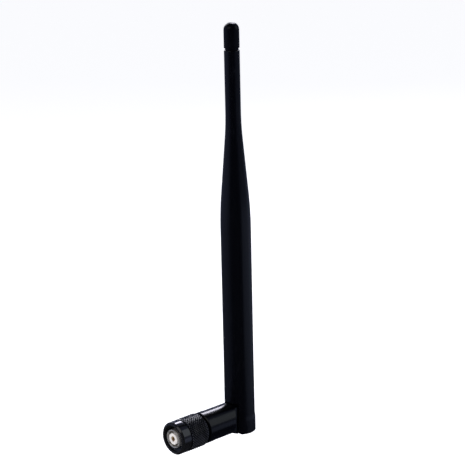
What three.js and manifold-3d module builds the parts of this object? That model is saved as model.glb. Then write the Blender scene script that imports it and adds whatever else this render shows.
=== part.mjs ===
// Tilt-and-swivel omnidirectional antenna with a threaded coaxial plug, bent at a right angle.
// Millimetres. The plug's axis is Y and its mouth faces -Y at y = 0. The tilt pin lies along X,
// PIN_Y behind the mouth, and the radome stands up from it along +Z.
import * as THREE from 'three';
import { mergeVertices } from 'three/addons/utils/BufferGeometryUtils.js';
import Module from 'manifold-3d';

const wasm = await Module();
wasm.setup();

// ---------------------------------------------------------------- clearances
const FIT = 0.08; // fixed pieces pressed or glued together
const RUN = 0.15; // radial clearance of pieces that turn on each other
const REST = 0.3; // faces that pass or meet at the hinge
const WIRE_FIT = 0.06; // round a wire or a contact

// ---------------------------------------------------------------- coupling nut
const NUT_LENGTH = 15.1;
const NUT_RADIUS = 7.3; // over the knurl
const NUT_RING_RADIUS = 7.15; // smooth ring at the mouth
const NUT_RING_LENGTH = 4.1;
const NUT_GROOVE_RADIUS = 6.85;
const NUT_GROOVE_WIDTH = 0.8;
const NUT_MOUTH_CHAMFER = 0.7;
const NUT_TAIL_CHAMFER = 0.6;
const NUT_TAIL_WALL = 1.7;
const THREAD_RADIUS = 5.15; // crest of the 7/16-28 female thread
const THREAD_LENGTH = 7.4;
const THREAD_LEAD_IN = 0.5;

// ---------------------------------------------------------------- plug interface
const MOUTH_INSET = 0.1; // contact faces behind the nut's front face
const SLEEVE_RADIUS = 4.1;
const SLEEVE_WALL = 0.6;
const SLEEVE_SLOTS = 4;
const SLEEVE_SLOT_WIDTH = 0.5;
const SLEEVE_SLOT_LENGTH = 5;
const INSULATOR_NOSE_RADIUS = 2.5;
const INSULATOR_NOSE_LENGTH = 6;
const INSULATOR_REAR = 15.1;
const SOCKET_RADIUS = 1.1;
const SOCKET_BORE = 0.65;
const SOCKET_DEPTH = 5;
const SOCKET_REAR = 17;
const SOLDER_CUP_BORE = 0.3;
const SOLDER_CUP_DEPTH = 1.6;

// ---------------------------------------------------------------- connector body
const BODY_FRONT = 10.3;
const BODY_FLANGE_RADIUS = 5.35;
const BODY_FLANGE_LENGTH = 1.9;
const BODY_COLLAR_RADIUS = 5;
const BODY_COLLAR_END = 16.6;
const BODY_COUNTERBORE_DEPTH = 2.1;
const STEM_RADIUS = 4.3;
const STEM_END = 23.5;
const CRIMP_STEM_RADIUS = 1.6;
const CRIMP_STEM_END = 29;
const GASKET_INNER = 4.25;
const GASKET_OUTER = 5; // inside the thread's crest, so the jack's rim meets all of it
const GASKET_THICKNESS = 1;
const RETAINER_GROOVE_RADIUS = 4.6;
const RETAINER_WIDTH = 0.55;
const RETAINER_OUTER = 5.6;
const RETAINER_SPLIT = 1.6;
const O_RING_Y = 18.6;
const O_RING_SECTION = 0.8;
const CLIP_Y = 21.25;
const CLIP_WIDTH = 0.6;
const CLIP_GROOVE_RADIUS = STEM_RADIUS - 0.7;
const CLIP_OUTER = STEM_RADIUS + 0.65;
const CLIP_SPLIT = 2;
const FERRULE_WALL = 0.45;
const FERRULE_LENGTH = 6;
const BRAID_THICKNESS = 0.3;

// ---------------------------------------------------------------- coaxial cable
const COAX_RADIUS = 0.9;
const COAX_CORE_RADIUS = 0.43;
const COAX_CONDUCTOR_RADIUS = 0.2;
const COAX_STRIPPED_LENGTH = 5.6;
const COAX_BEND_RADIUS = 4.6;
const COAX_HINGE_REACH = 7.6; // from the pin's axis to each end of the flexing length

// ---------------------------------------------------------------- swivel base
const PIN_Y = 39;
const BASE_FRONT = 15.9;
const BASE_RADIUS = 6.78;
const BASE_COLLAR_RADIUS = 6.9;
const BASE_COLLAR_LENGTH = 3.6;
const BASE_EDGE = 0.3;
const BASE_CABLE_RADIUS = 3.2;
const SHOULDER_REACH = 8.5; // from the pin's axis to the base's end
const KNUCKLE_HALF = 3.9; // half the knuckle's width along X
const KNUCKLE_NOSE_BOTTOM = 6.85; // below the pin's axis
const CHANNEL_HALF = 1.5; // cable channel through the knuckle

// ---------------------------------------------------------------- tilt hinge
const WASHER_GAP = 0.6; // between the knuckle and each of the fork's ears
const SLOT_HALF = KNUCKLE_HALF + WASHER_GAP; // half the gap between the ears
const PIN_RADIUS = 1.2;
const PIN_INNER_END = 2.1;
const PIN_OUTER_END = SLOT_HALF + 1.1;
const WASHER_RADIUS = 3.4;
const SLOT_TOP = 7.1; // above the pin's axis
const EAR_BOTTOM = 7.1; // below the pin's axis
const BACK_WALL_INNER = 4; // behind the pin's axis, so the slot's corners stay inside the tube
const BACK_NOTCH_TOP = 2.2; // below the pin's axis
const LEAD_IN_DEPTH = 0.6;

// ---------------------------------------------------------------- radome
const FORK_RADIUS = 6.82;
const FORK_STEP_Z = -1.2;
const FORK_STEP_LENGTH = 2;
const TUBE_FOOT_RADIUS = 6.58;
const TUBE_RADIUS = 6.5;
const TUBE_FOOT_LENGTH = 27;
const TUBE_BORE = 4.5;
const NECK_TOP = 162;
const STRETCH = NECK_TOP / 162; // stations along the tube move with its length
const TAPER_START = 92.8 * STRETCH; // where the tube's line meets the taper's
const TAPER_END = 130.2 * STRETCH; // where the taper's line meets the neck's
const TAPER_START_EASE = 8; // how far the rounding reaches each way
const TAPER_END_EASE = 6;
const EASE_STEPS = 5;
const NECK_RADIUS = 3.28;
const NECK_BORE = 2.25;
const NECK_CHAMFER = 0.45;
const TAPER_BORE_START = 86 * STRETCH;
const TAPER_BORE_END = 128 * STRETCH;
const CAP_GROOVE_RADIUS = 2.8;
const CAP_GROOVE_WIDTH = 0.8;
const CAP_TOP = NECK_TOP + 11.3;
const CAP_DOME_HEIGHT = 3.5;
const CAP_DOME_EXPONENT = 2.6;
const CAP_DOME_STEPS = 7;
const CAP_PLUG_LENGTH = 8;
const CABLE_PLUG_LENGTH = 4;

// ---------------------------------------------------------------- radiating element
const DIPOLE_RADIUS = 4;
const DIPOLE_WALL = 0.35;
const DIPOLE_BOTTOM = 22 * STRETCH;
const DIPOLE_LENGTH = 24 * STRETCH;
const END_DISC_THICKNESS = 0.8;
const DIPOLE_BUSH_LENGTH = 3;
const SHRINK_WALL = 0.3;
const SHRINK_BOTTOM = 13;
const SHRINK_LENGTH = DIPOLE_BOTTOM - SHRINK_BOTTOM - 2;
const LOWER_ROD_RADIUS = 1.2;
const LOWER_ROD_BOTTOM = 48.2 * STRETCH;
const LOWER_ROD_LENGTH = 34 * STRETCH;
const FEED_PIN_REACH = 3;
const WHIP_RADIUS = 0.5;
const WHIP_SOCKET_DEPTH = 5;
const COIL_RADIUS = 2.2;
const COIL_TURNS = 5;
const COIL_PITCH = 2.6 * STRETCH;
const COIL_LEAD = 3; // from the rod's end to the first turn
const COIL_EASE_TURNS = 0.25; // over which the wire moves out to the coil's radius
const WHIP_SHARES = [0.1, 0.8, 0.1]; // of the wire's stations: tail, coil, whip
const WHIP_TOP = 150 * STRETCH;
const SPACER_LENGTH = 4;
const LOWER_SPACER_Z = [58 * STRETCH, 74 * STRETCH];
const UPPER_SPACER_Z = [132 * STRETCH, 144 * STRETCH];

// ---------------------------------------------------------------- facets
const WIDE_FACETS = 48;
const BODY_FACETS = 32;
const SMALL_FACETS = 24;
const WIRE_FACETS = 8;
const COIL_STEPS_PER_TURN = 18;
const FAR = 60; // reach of cutting blocks past the piece that they cut

// ================================================================ geometry helpers

/** A closed three.js geometry as a manifold solid. */
function solid(geometry) {
  const bare = geometry.clone();
  bare.deleteAttribute('normal');
  bare.deleteAttribute('uv');
  const merged = mergeVertices(bare, 1e-4);
  const kept = [];
  const index = merged.index.array;
  for (let i = 0; i < index.length; i += 3) {
    const [a, b, c] = [index[i], index[i + 1], index[i + 2]];
    if (a !== b && b !== c && c !== a) kept.push(a, b, c);
  }
  const vertProperties = new Float32Array(merged.attributes.position.array);
  const triVerts = new Uint32Array(kept);
  return new wasm.Manifold(new wasm.Mesh({ numProp: 3, vertProperties, triVerts }));
}

/** A manifold solid as a three.js geometry with flat facets. */
function geometryOf(body) {
  const mesh = body.getMesh();
  const indexed = new THREE.BufferGeometry();
  indexed.setAttribute('position', new THREE.BufferAttribute(mesh.vertProperties, 3));
  indexed.setIndex(new THREE.BufferAttribute(mesh.triVerts, 1));
  const flat = indexed.toNonIndexed();
  flat.computeVertexNormals();
  return flat;
}

/** Turns a closed outline of [axial, radius] points round the Y axis. */
function turned(outline, facets = SMALL_FACETS) {
  const points = outline.map(([axial, radius]) => new THREE.Vector2(radius, axial));
  if (THREE.ShapeUtils.isClockWise(points)) points.reverse();
  points.push(points[0].clone());
  return solid(new THREE.LatheGeometry(points, facets));
}

/** The same outline turned round the Z axis. */
function upright(outline, facets = SMALL_FACETS) {
  return turned(outline, facets).rotate([90, 0, 0]);
}

/** A plain ring or rod along Y between two stations. */
function ring(start, end, inner, outer, facets = SMALL_FACETS) {
  return turned([[start, inner], [start, outer], [end, outer], [end, inner]], facets);
}

/** A plain ring or rod along Z between two heights. */
function uprightRing(bottom, top, inner, outer, facets = SMALL_FACETS) {
  return ring(bottom, top, inner, outer, facets).rotate([90, 0, 0]);
}

/** A block between two corners. */
function block(low, high) {
  const size = high.map((value, axis) => value - low[axis]);
  const middle = high.map((value, axis) => (value + low[axis]) / 2);
  return solid(new THREE.BoxGeometry(...size)).translate(middle);
}

/** A round bar along X, centred on the pin's axis, in the hinge's own frame. */
function crossBar(from, to, radius, facets = SMALL_FACETS) {
  const bar = solid(new THREE.CylinderGeometry(radius, radius, to - from, facets));
  return bar.rotate([0, 0, 90]).translate([(from + to) / 2, 0, 0]);
}

/** A round section swept along a curve. */
function swept(curve, radius, steps) {
  const corners = [];
  for (let i = 0; i < WIRE_FACETS; i++) {
    const angle = (2 * Math.PI * i) / WIRE_FACETS;
    corners.push(new THREE.Vector2(radius * Math.cos(angle), radius * Math.sin(angle)));
  }
  const section = new THREE.Shape(corners);
  return solid(new THREE.ExtrudeGeometry(section, { steps, extrudePath: curve }));
}

/** A ring with a straight gap across one side, along Y. */
function splitRing(middle, width, inner, outer, gap) {
  const whole = ring(middle - width / 2, middle + width / 2, inner, outer, SMALL_FACETS);
  return whole.subtract(block([-gap / 2, middle - width, 0], [gap / 2, middle + width, FAR]));
}

// ================================================================ materials

/** A material from its colour and surface. */
function finish(color, roughness, metalness = 0) {
  return new THREE.MeshStandardMaterial({ color, roughness, metalness });
}

const FINISHES = {
  blackShell: () => finish(0x16161a, 0.3),
  blackMetal: () => finish(0x1b1b1d, 0.45, 0.6),
  silver: () => finish(0xc9c9c6, 0.25, 1),
  nickel: () => finish(0xb9b4a6, 0.3, 1),
  gold: () => finish(0xd2a548, 0.25, 1),
  brass: () => finish(0xb58f4c, 0.35, 1),
  copper: () => finish(0xb5714a, 0.35, 1),
  steel: () => finish(0x8d9095, 0.3, 1),
  ptfe: () => finish(0xf2f1ec, 0.5),
  rubber: () => finish(0x8e3a2c, 0.7),
  blackRubber: () => finish(0x121212, 0.8),
  cable: () => finish(0x8a5a34, 0.45),
  foam: () => finish(0xe4e0d4, 0.95),
  shrink: () => finish(0x101012, 0.6),
};

/** A named mesh from a manifold solid. */
function piece(name, body, finishName) {
  const mesh = new THREE.Mesh(geometryOf(body), FINISHES[finishName]());
  mesh.name = name;
  return mesh;
}

// ================================================================ nut

const nutCavityEnd = NUT_LENGTH - NUT_TAIL_WALL;
const nutCavityRadius = RETAINER_OUTER + RUN;

function couplingNut() {
  const grooveEnd = NUT_RING_LENGTH + NUT_GROOVE_WIDTH;
  const body = turned([
    [0, THREAD_RADIUS + THREAD_LEAD_IN],
    [0, NUT_RING_RADIUS - NUT_MOUTH_CHAMFER],
    [NUT_MOUTH_CHAMFER, NUT_RING_RADIUS],
    [NUT_RING_LENGTH, NUT_RING_RADIUS],
    [NUT_RING_LENGTH, NUT_GROOVE_RADIUS],
    [grooveEnd, NUT_GROOVE_RADIUS],
    [grooveEnd, NUT_RADIUS],
    [NUT_LENGTH - NUT_TAIL_CHAMFER, NUT_RADIUS],
    [NUT_LENGTH, NUT_RADIUS - NUT_TAIL_CHAMFER],
    [NUT_LENGTH, BODY_COLLAR_RADIUS + RUN],
    [nutCavityEnd, BODY_COLLAR_RADIUS + RUN],
    [nutCavityEnd, nutCavityRadius],
    [THREAD_LENGTH, nutCavityRadius],
    [THREAD_LENGTH, THREAD_RADIUS],
    [THREAD_LEAD_IN, THREAD_RADIUS],
  ], WIDE_FACETS);
  return piece('coupling_nut', body, 'blackMetal');
}

// ================================================================ connector

const retainerY = nutCavityEnd - RUN - RETAINER_WIDTH / 2;
const insulatorRadius = SLEEVE_RADIUS - SLEEVE_WALL - FIT;

function outerContact() {
  const rear = BODY_FRONT + BODY_COUNTERBORE_DEPTH - FIT;
  const tube = ring(MOUTH_INSET, rear, SLEEVE_RADIUS - SLEEVE_WALL, SLEEVE_RADIUS);
  const half = SLEEVE_SLOT_WIDTH / 2;
  const slotEnd = MOUTH_INSET + SLEEVE_SLOT_LENGTH;
  let slotted = tube;
  for (let i = 0; i < SLEEVE_SLOTS; i++) {
    const turn = 45 + (360 * i) / SLEEVE_SLOTS;
    const slot = block([-half, -FAR, 0], [half, slotEnd, FAR]).rotate([0, turn, 0]);
    slotted = slotted.subtract(slot);
  }
  return piece('outer_contact', slotted, 'silver');
}

function insulator() {
  const bore = SOCKET_RADIUS + WIRE_FIT;
  const body = turned([
    [MOUTH_INSET, bore],
    [MOUTH_INSET, INSULATOR_NOSE_RADIUS],
    [INSULATOR_NOSE_LENGTH, INSULATOR_NOSE_RADIUS],
    [INSULATOR_NOSE_LENGTH, insulatorRadius],
    [INSULATOR_REAR, insulatorRadius],
    [INSULATOR_REAR, bore],
  ]);
  return piece('insulator', body, 'ptfe');
}

function centreContact() {
  const front = 2 * MOUTH_INSET;
  const body = turned([
    [front + SOCKET_DEPTH, 0],
    [front + SOCKET_DEPTH, SOCKET_BORE],
    [front, SOCKET_BORE],
    [front, SOCKET_RADIUS],
    [SOCKET_REAR, SOCKET_RADIUS],
    [SOCKET_REAR, SOLDER_CUP_BORE],
    [SOCKET_REAR - SOLDER_CUP_DEPTH, SOLDER_CUP_BORE],
    [SOCKET_REAR - SOLDER_CUP_DEPTH, 0],
  ]);
  return piece('centre_contact', body, 'gold');
}

function connectorBody() {
  const flangeEnd = BODY_FRONT + BODY_FLANGE_LENGTH;
  const counterboreEnd = BODY_FRONT + BODY_COUNTERBORE_DEPTH;
  const retainerEnd = retainerY + RETAINER_WIDTH / 2 + FIT;
  const oRingHalf = O_RING_SECTION / 2 + FIT;
  const oRingFloor = STEM_RADIUS + RUN - O_RING_SECTION - 2 * FIT;
  const clipHalf = CLIP_WIDTH / 2 + FIT;
  const insulatorBore = insulatorRadius + FIT;
  const insulatorSeat = INSULATOR_REAR + FIT;
  const cableBore = COAX_RADIUS + RUN;
  const contactClearance = SOCKET_RADIUS + REST;
  const coreEnd = SOCKET_REAR + 2 * REST;
  const body = turned([
    [BODY_FRONT, SLEEVE_RADIUS + FIT],
    [BODY_FRONT, BODY_FLANGE_RADIUS],
    [flangeEnd, BODY_FLANGE_RADIUS],
    [flangeEnd, RETAINER_GROOVE_RADIUS],
    [retainerEnd, RETAINER_GROOVE_RADIUS],
    [retainerEnd, BODY_COLLAR_RADIUS],
    [BODY_COLLAR_END, BODY_COLLAR_RADIUS],
    [BODY_COLLAR_END, STEM_RADIUS],
    [O_RING_Y - oRingHalf, STEM_RADIUS],
    [O_RING_Y - oRingHalf, oRingFloor],
    [O_RING_Y + oRingHalf, oRingFloor],
    [O_RING_Y + oRingHalf, STEM_RADIUS],
    [CLIP_Y - clipHalf, STEM_RADIUS],
    [CLIP_Y - clipHalf, CLIP_GROOVE_RADIUS],
    [CLIP_Y + clipHalf, CLIP_GROOVE_RADIUS],
    [CLIP_Y + clipHalf, STEM_RADIUS],
    [STEM_END, STEM_RADIUS],
    [STEM_END, CRIMP_STEM_RADIUS],
    [CRIMP_STEM_END, CRIMP_STEM_RADIUS],
    [CRIMP_STEM_END, cableBore],
    [coreEnd, cableBore],
    [coreEnd, contactClearance],
    [insulatorSeat, contactClearance],
    [insulatorSeat, insulatorBore],
    [counterboreEnd, insulatorBore],
    [counterboreEnd, SLEEVE_RADIUS + FIT],
  ], BODY_FACETS);
  return piece('connector_body', body, 'nickel');
}

function faceGasket() {
  const rear = BODY_FRONT - FIT;
  const body = ring(rear - GASKET_THICKNESS, rear, GASKET_INNER, GASKET_OUTER);
  return piece('face_gasket', body, 'rubber');
}

function nutRetainingRing() {
  const inner = RETAINER_GROOVE_RADIUS + FIT;
  const body = splitRing(retainerY, RETAINER_WIDTH, inner, RETAINER_OUTER, RETAINER_SPLIT);
  return piece('nut_retaining_ring', body, 'steel');
}

function crimpFerrule() {
  const inner = CRIMP_STEM_RADIUS + BRAID_THICKNESS;
  const start = STEM_END + REST;
  const body = ring(start, start + FERRULE_LENGTH, inner, inner + FERRULE_WALL);
  return piece('crimp_ferrule', body, 'nickel');
}

function swivelORing() {
  const middle = STEM_RADIUS + RUN - FIT - O_RING_SECTION / 2;
  const section = [];
  for (let i = 0; i < WIRE_FACETS; i++) {
    const angle = (2 * Math.PI * i) / WIRE_FACETS;
    const half = O_RING_SECTION / 2;
    section.push([O_RING_Y + half * Math.sin(angle), middle + half * Math.cos(angle)]);
  }
  return piece('swivel_o_ring', turned(section), 'blackRubber');
}

function swivelClip() {
  const inner = CLIP_GROOVE_RADIUS + FIT;
  const body = splitRing(CLIP_Y, CLIP_WIDTH, inner, CLIP_OUTER, CLIP_SPLIT);
  return piece('swivel_clip', body, 'steel');
}

const coaxBaseEnd = PIN_Y - COAX_HINGE_REACH;

function coaxInBase() {
  const jacketStart = SOCKET_REAR + COAX_STRIPPED_LENGTH;
  const coreStart = SOCKET_REAR + REST;
  const body = turned([
    [coreStart - SOLDER_CUP_DEPTH, 0],
    [coreStart - SOLDER_CUP_DEPTH, COAX_CONDUCTOR_RADIUS],
    [coreStart, COAX_CONDUCTOR_RADIUS],
    [coreStart, COAX_CORE_RADIUS],
    [jacketStart, COAX_CORE_RADIUS],
    [jacketStart, COAX_RADIUS],
    [coaxBaseEnd, COAX_RADIUS],
    [coaxBaseEnd, 0],
  ], WIRE_FACETS);
  return piece('coax_in_base', body, 'cable');
}

// ================================================================ base

/** The base's round body with its bores, in the row frame. */
function baseBarrel() {
  const collarEnd = BASE_FRONT + BASE_COLLAR_LENGTH;
  const stemBore = STEM_RADIUS + RUN;
  const clipHalf = CLIP_WIDTH / 2 + RUN;
  const collarBoreEnd = BODY_COLLAR_END + REST;
  const stemBoreEnd = STEM_END + REST;
  const cavityEnd = PIN_Y - SHOULDER_REACH - REST;
  const end = PIN_Y + BACK_WALL_INNER;
  return turned([
    [BASE_FRONT, BODY_COLLAR_RADIUS + RUN],
    [BASE_FRONT, BASE_COLLAR_RADIUS - BASE_EDGE],
    [BASE_FRONT + BASE_EDGE, BASE_COLLAR_RADIUS],
    [collarEnd, BASE_COLLAR_RADIUS],
    [collarEnd + BASE_EDGE, BASE_RADIUS],
    [end, BASE_RADIUS],
    [end, 0],
    [cavityEnd, 0],
    [cavityEnd, BASE_CABLE_RADIUS],
    [stemBoreEnd, BASE_CABLE_RADIUS],
    [stemBoreEnd, stemBore],
    [CLIP_Y + clipHalf, stemBore],
    [CLIP_Y + clipHalf, CLIP_OUTER + RUN],
    [CLIP_Y - clipHalf, CLIP_OUTER + RUN],
    [CLIP_Y - clipHalf, stemBore],
    [collarBoreEnd, stemBore],
    [collarBoreEnd, BODY_COLLAR_RADIUS + RUN],
  ], WIDE_FACETS);
}

/** What the shoulder leaves free beside the knuckle, round the pin's axis. */
function shoulderCut() {
  const sweep = crossBar(-FAR, FAR, SHOULDER_REACH, WIDE_FACETS);
  const below = block([-FAR, -SHOULDER_REACH, -FAR], [FAR, FAR, 0]);
  const behind = block([-FAR, 0, 0], [FAR, FAR, FAR]);
  const middle = block([-KNUCKLE_HALF, -FAR, -FAR], [KNUCKLE_HALF, FAR, FAR]);
  return sweep.add(below).add(behind).subtract(middle);
}

/** What the knuckle loses so that the fork turns round it, round the pin's axis. */
function knuckleRelief() {
  const inner = BACK_WALL_INNER - REST;
  const topCorner = block([-FAR, 0, 0], [FAR, FAR, FAR])
    .subtract(crossBar(-FAR, FAR, SLOT_TOP - REST, WIDE_FACETS));
  const lowCorner = block([-FAR, 0, -FAR], [FAR, FAR, 0])
    .subtract(crossBar(-FAR, FAR, inner, WIDE_FACETS));
  const under = block([-FAR, -BACK_NOTCH_TOP - REST, -FAR], [FAR, 0, -inner]);
  const behind = block([-FAR, inner, -FAR], [FAR, FAR, FAR]);
  return topCorner.add(lowCorner).add(under).add(behind);
}

/** The knuckle's nose, flush with the fork in front of the pin. */
function knuckleNose() {
  const round = uprightRing(-KNUCKLE_NOSE_BOTTOM, 0, 0, TUBE_RADIUS, WIDE_FACETS);
  const front = block([-KNUCKLE_HALF, -FAR, -FAR], [KNUCKLE_HALF, -BACK_NOTCH_TOP - REST, 0]);
  return round.intersect(front);
}

/** The cable's way through the knuckle, open at its end and over the pins. */
function cableChannel() {
  const half = CHANNEL_HALF;
  const through = block([-half, -SHOULDER_REACH - 2 * REST, -half], [half, FAR, half]);
  const open = block([-half, -COAX_BEND_RADIUS, 0], [half, FAR, FAR]);
  return through.add(open);
}

function pinBores(outerEnd, radius) {
  const right = crossBar(PIN_INNER_END - FIT, outerEnd, radius);
  const left = crossBar(-outerEnd, -PIN_INNER_END + FIT, radius);
  return right.add(left);
}

function baseHousing() {
  const pin = [0, PIN_Y, 0];
  const body = baseBarrel()
    .subtract(shoulderCut().translate(pin))
    .add(knuckleNose().translate(pin))
    .subtract(knuckleRelief().translate(pin))
    .subtract(cableChannel().translate(pin))
    .subtract(pinBores(FAR, PIN_RADIUS + WIRE_FIT).translate(pin));
  return piece('base_housing', body, 'blackShell');
}

// ================================================================ hinge, round the pin's axis

function hingePin(name, side) {
  const ends = [side * PIN_INNER_END, side * PIN_OUTER_END].sort((a, b) => a - b);
  return piece(name, crossBar(...ends, PIN_RADIUS), 'steel');
}

function hingeWasher(name, side) {
  const faces = [side * (KNUCKLE_HALF + FIT), side * (SLOT_HALF - FIT)].sort((a, b) => a - b);
  const disc = crossBar(...faces, WASHER_RADIUS);
  const body = disc.subtract(crossBar(-FAR, FAR, PIN_RADIUS + WIRE_FIT));
  return piece(name, body, 'steel');
}

function coaxHinge() {
  const reach = COAX_HINGE_REACH - REST;
  const bend = COAX_BEND_RADIUS;
  const route = new THREE.CurvePath();
  const start = new THREE.Vector3(0, -reach, 0);
  const bendStart = new THREE.Vector3(0, -bend, 0);
  const corner = new THREE.Vector3(0, 0, 0);
  const bendEnd = new THREE.Vector3(0, 0, bend);
  const end = new THREE.Vector3(0, 0, reach);
  route.add(new THREE.LineCurve3(start, bendStart));
  route.add(new THREE.QuadraticBezierCurve3(bendStart, corner, bendEnd));
  route.add(new THREE.LineCurve3(bendEnd, end));
  return piece('coax_hinge', swept(route, COAX_RADIUS, 14), 'cable');
}

// ================================================================ radome, with the pin's axis at z = 0

/** A ramp that starts at a corner with slope 1, rounded for some reach each side of it. */
function easedRamp(z, corner, reach) {
  const past = z - (corner - reach);
  if (past <= 0) return 0;
  return past < 2 * reach ? (past * past) / (4 * reach) : z - corner;
}

/** Outer radius on the long taper: straight in the middle, eased at both ends. */
function taperRadius(z) {
  const slope = (TUBE_RADIUS - NECK_RADIUS) / (TAPER_END - TAPER_START);
  const fall = easedRamp(z, TAPER_START, TAPER_START_EASE) - easedRamp(z, TAPER_END, TAPER_END_EASE);
  return TUBE_RADIUS - slope * fall;
}

/** Stations across one rounded corner of the taper. */
function easeStations(corner, reach) {
  const stations = [];
  for (let i = 0; i <= EASE_STEPS; i++) stations.push(corner + reach * ((2 * i) / EASE_STEPS - 1));
  return stations;
}

function radomeOutline() {
  const outline = [
    [-EAR_BOTTOM, 0],
    [-EAR_BOTTOM, FORK_RADIUS],
    [FORK_STEP_Z, FORK_RADIUS],
    [FORK_STEP_Z + FORK_STEP_LENGTH, TUBE_FOOT_RADIUS],
    [TUBE_FOOT_LENGTH, TUBE_RADIUS],
  ];
  const start = easeStations(TAPER_START, TAPER_START_EASE);
  const end = easeStations(TAPER_END, TAPER_END_EASE);
  for (const z of [...start, ...end]) outline.push([z, taperRadius(z)]);
  outline.push(
    [NECK_TOP - NECK_CHAMFER, NECK_RADIUS],
    [NECK_TOP, NECK_RADIUS - NECK_CHAMFER],
    [NECK_TOP, NECK_BORE],
    [TAPER_BORE_END, NECK_BORE],
    [TAPER_BORE_START, TUBE_BORE],
    [SLOT_TOP - REST, TUBE_BORE],
    [SLOT_TOP - REST, 0],
  );
  return outline;
}

/** The gap that the knuckle fills: open in front and below, and notched behind. */
function forkSlot() {
  const gap = block([-SLOT_HALF, -FAR, -FAR], [SLOT_HALF, BACK_WALL_INNER, SLOT_TOP]);
  const notch = block([-SLOT_HALF, 0, -FAR], [SLOT_HALF, FAR, -BACK_NOTCH_TOP]);
  return gap.add(notch);
}

/** Rounds the ears' front lower corners so that they pass the base's shoulder. */
function earCorners() {
  const quarter = block([-FAR, -FAR, -FAR], [FAR, 0, 0]);
  return quarter.subtract(crossBar(-FAR, FAR, SHOULDER_REACH - REST, WIDE_FACETS));
}

/** The pin sockets in the ears, and the grooves that lead the pins in from below. */
function earSockets() {
  const radius = PIN_RADIUS + RUN;
  const reach = PIN_OUTER_END + RUN;
  const grooveReach = SLOT_HALF + LEAD_IN_DEPTH;
  const sockets = crossBar(-reach, reach, radius);
  const grooves = block([-grooveReach, -radius, -FAR], [grooveReach, radius, 0]);
  return sockets.add(grooves);
}

function radome() {
  const body = upright(radomeOutline(), WIDE_FACETS)
    .subtract(forkSlot())
    .subtract(earCorners())
    .subtract(earSockets());
  return piece('radome', body, 'blackShell');
}

function tipCap() {
  const seat = NECK_TOP + FIT;
  const bodyStart = NECK_TOP + CAP_GROOVE_WIDTH;
  const domeStart = CAP_TOP - CAP_DOME_HEIGHT;
  const plugRadius = NECK_BORE - FIT;
  const outline = [
    [seat - CAP_PLUG_LENGTH, 0],
    [seat - CAP_PLUG_LENGTH, plugRadius],
    [seat, plugRadius],
    [seat, CAP_GROOVE_RADIUS],
    [bodyStart, CAP_GROOVE_RADIUS],
    [bodyStart, NECK_RADIUS],
  ];
  for (let i = 0; i < CAP_DOME_STEPS; i++) {
    const share = Math.sin((Math.PI / 2) * (i / CAP_DOME_STEPS));
    const radius = NECK_RADIUS * (1 - share ** CAP_DOME_EXPONENT) ** (1 / CAP_DOME_EXPONENT);
    outline.push([domeStart + CAP_DOME_HEIGHT * share, radius]);
  }
  outline.push([CAP_TOP, 0]);
  return piece('tip_cap', upright(outline, SMALL_FACETS), 'blackShell');
}

function cablePlug() {
  const bottom = SLOT_TOP + FIT;
  const bore = COAX_RADIUS + FIT;
  const body = uprightRing(bottom, bottom + CABLE_PLUG_LENGTH, bore, TUBE_BORE - FIT);
  return piece('cable_plug', body, 'ptfe');
}

// ================================================================ radiating element

const dipoleTop = DIPOLE_BOTTOM + DIPOLE_LENGTH;
const coilStart = LOWER_ROD_BOTTOM + LOWER_ROD_LENGTH + COIL_LEAD;
const coilEnd = coilStart + COIL_TURNS * COIL_PITCH;

function coaxInRadome() {
  const feedStart = LOWER_ROD_BOTTOM - REST;
  const body = upright([
    [COAX_HINGE_REACH, 0],
    [COAX_HINGE_REACH, COAX_RADIUS],
    [dipoleTop - REST, COAX_RADIUS],
    [dipoleTop - REST, COAX_CORE_RADIUS],
    [feedStart, COAX_CORE_RADIUS],
    [feedStart, COAX_CONDUCTOR_RADIUS],
    [feedStart + FEED_PIN_REACH, COAX_CONDUCTOR_RADIUS],
    [feedStart + FEED_PIN_REACH, 0],
  ], WIRE_FACETS);
  return piece('coax_in_radome', body, 'cable');
}

function dipoleSleeve() {
  const body = uprightRing(DIPOLE_BOTTOM, dipoleTop, DIPOLE_RADIUS - DIPOLE_WALL, DIPOLE_RADIUS);
  return piece('dipole_sleeve', body, 'brass');
}

function dipoleEndDisc() {
  const radius = DIPOLE_RADIUS - DIPOLE_WALL - FIT;
  const bore = COAX_CORE_RADIUS + WIRE_FIT;
  const body = uprightRing(dipoleTop - REST + FIT, dipoleTop + END_DISC_THICKNESS, bore, radius);
  return piece('dipole_end_disc', body, 'brass');
}

function dipoleBush() {
  const radius = DIPOLE_RADIUS - DIPOLE_WALL - FIT;
  const body = uprightRing(DIPOLE_BOTTOM, DIPOLE_BOTTOM + DIPOLE_BUSH_LENGTH, COAX_RADIUS + FIT, radius);
  return piece('dipole_bush', body, 'ptfe');
}

function coaxShrinkTube() {
  const inner = COAX_RADIUS + WIRE_FIT;
  const top = SHRINK_BOTTOM + SHRINK_LENGTH;
  const body = uprightRing(SHRINK_BOTTOM, top, inner, inner + SHRINK_WALL, SMALL_FACETS);
  return piece('coax_shrink_tube', body, 'shrink');
}

function lowerRod() {
  const top = LOWER_ROD_BOTTOM + LOWER_ROD_LENGTH;
  const cup = COAX_CONDUCTOR_RADIUS + FIT;
  const cupTop = LOWER_ROD_BOTTOM + FEED_PIN_REACH;
  const socket = WHIP_RADIUS + WIRE_FIT;
  const socketBottom = top - WHIP_SOCKET_DEPTH;
  const body = upright([
    [cupTop, 0],
    [cupTop, cup],
    [LOWER_ROD_BOTTOM, cup],
    [LOWER_ROD_BOTTOM, LOWER_ROD_RADIUS],
    [top, LOWER_ROD_RADIUS],
    [top, socket],
    [socketBottom, socket],
    [socketBottom, 0],
  ]);
  return piece('lower_radiator', body, 'brass');
}

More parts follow.
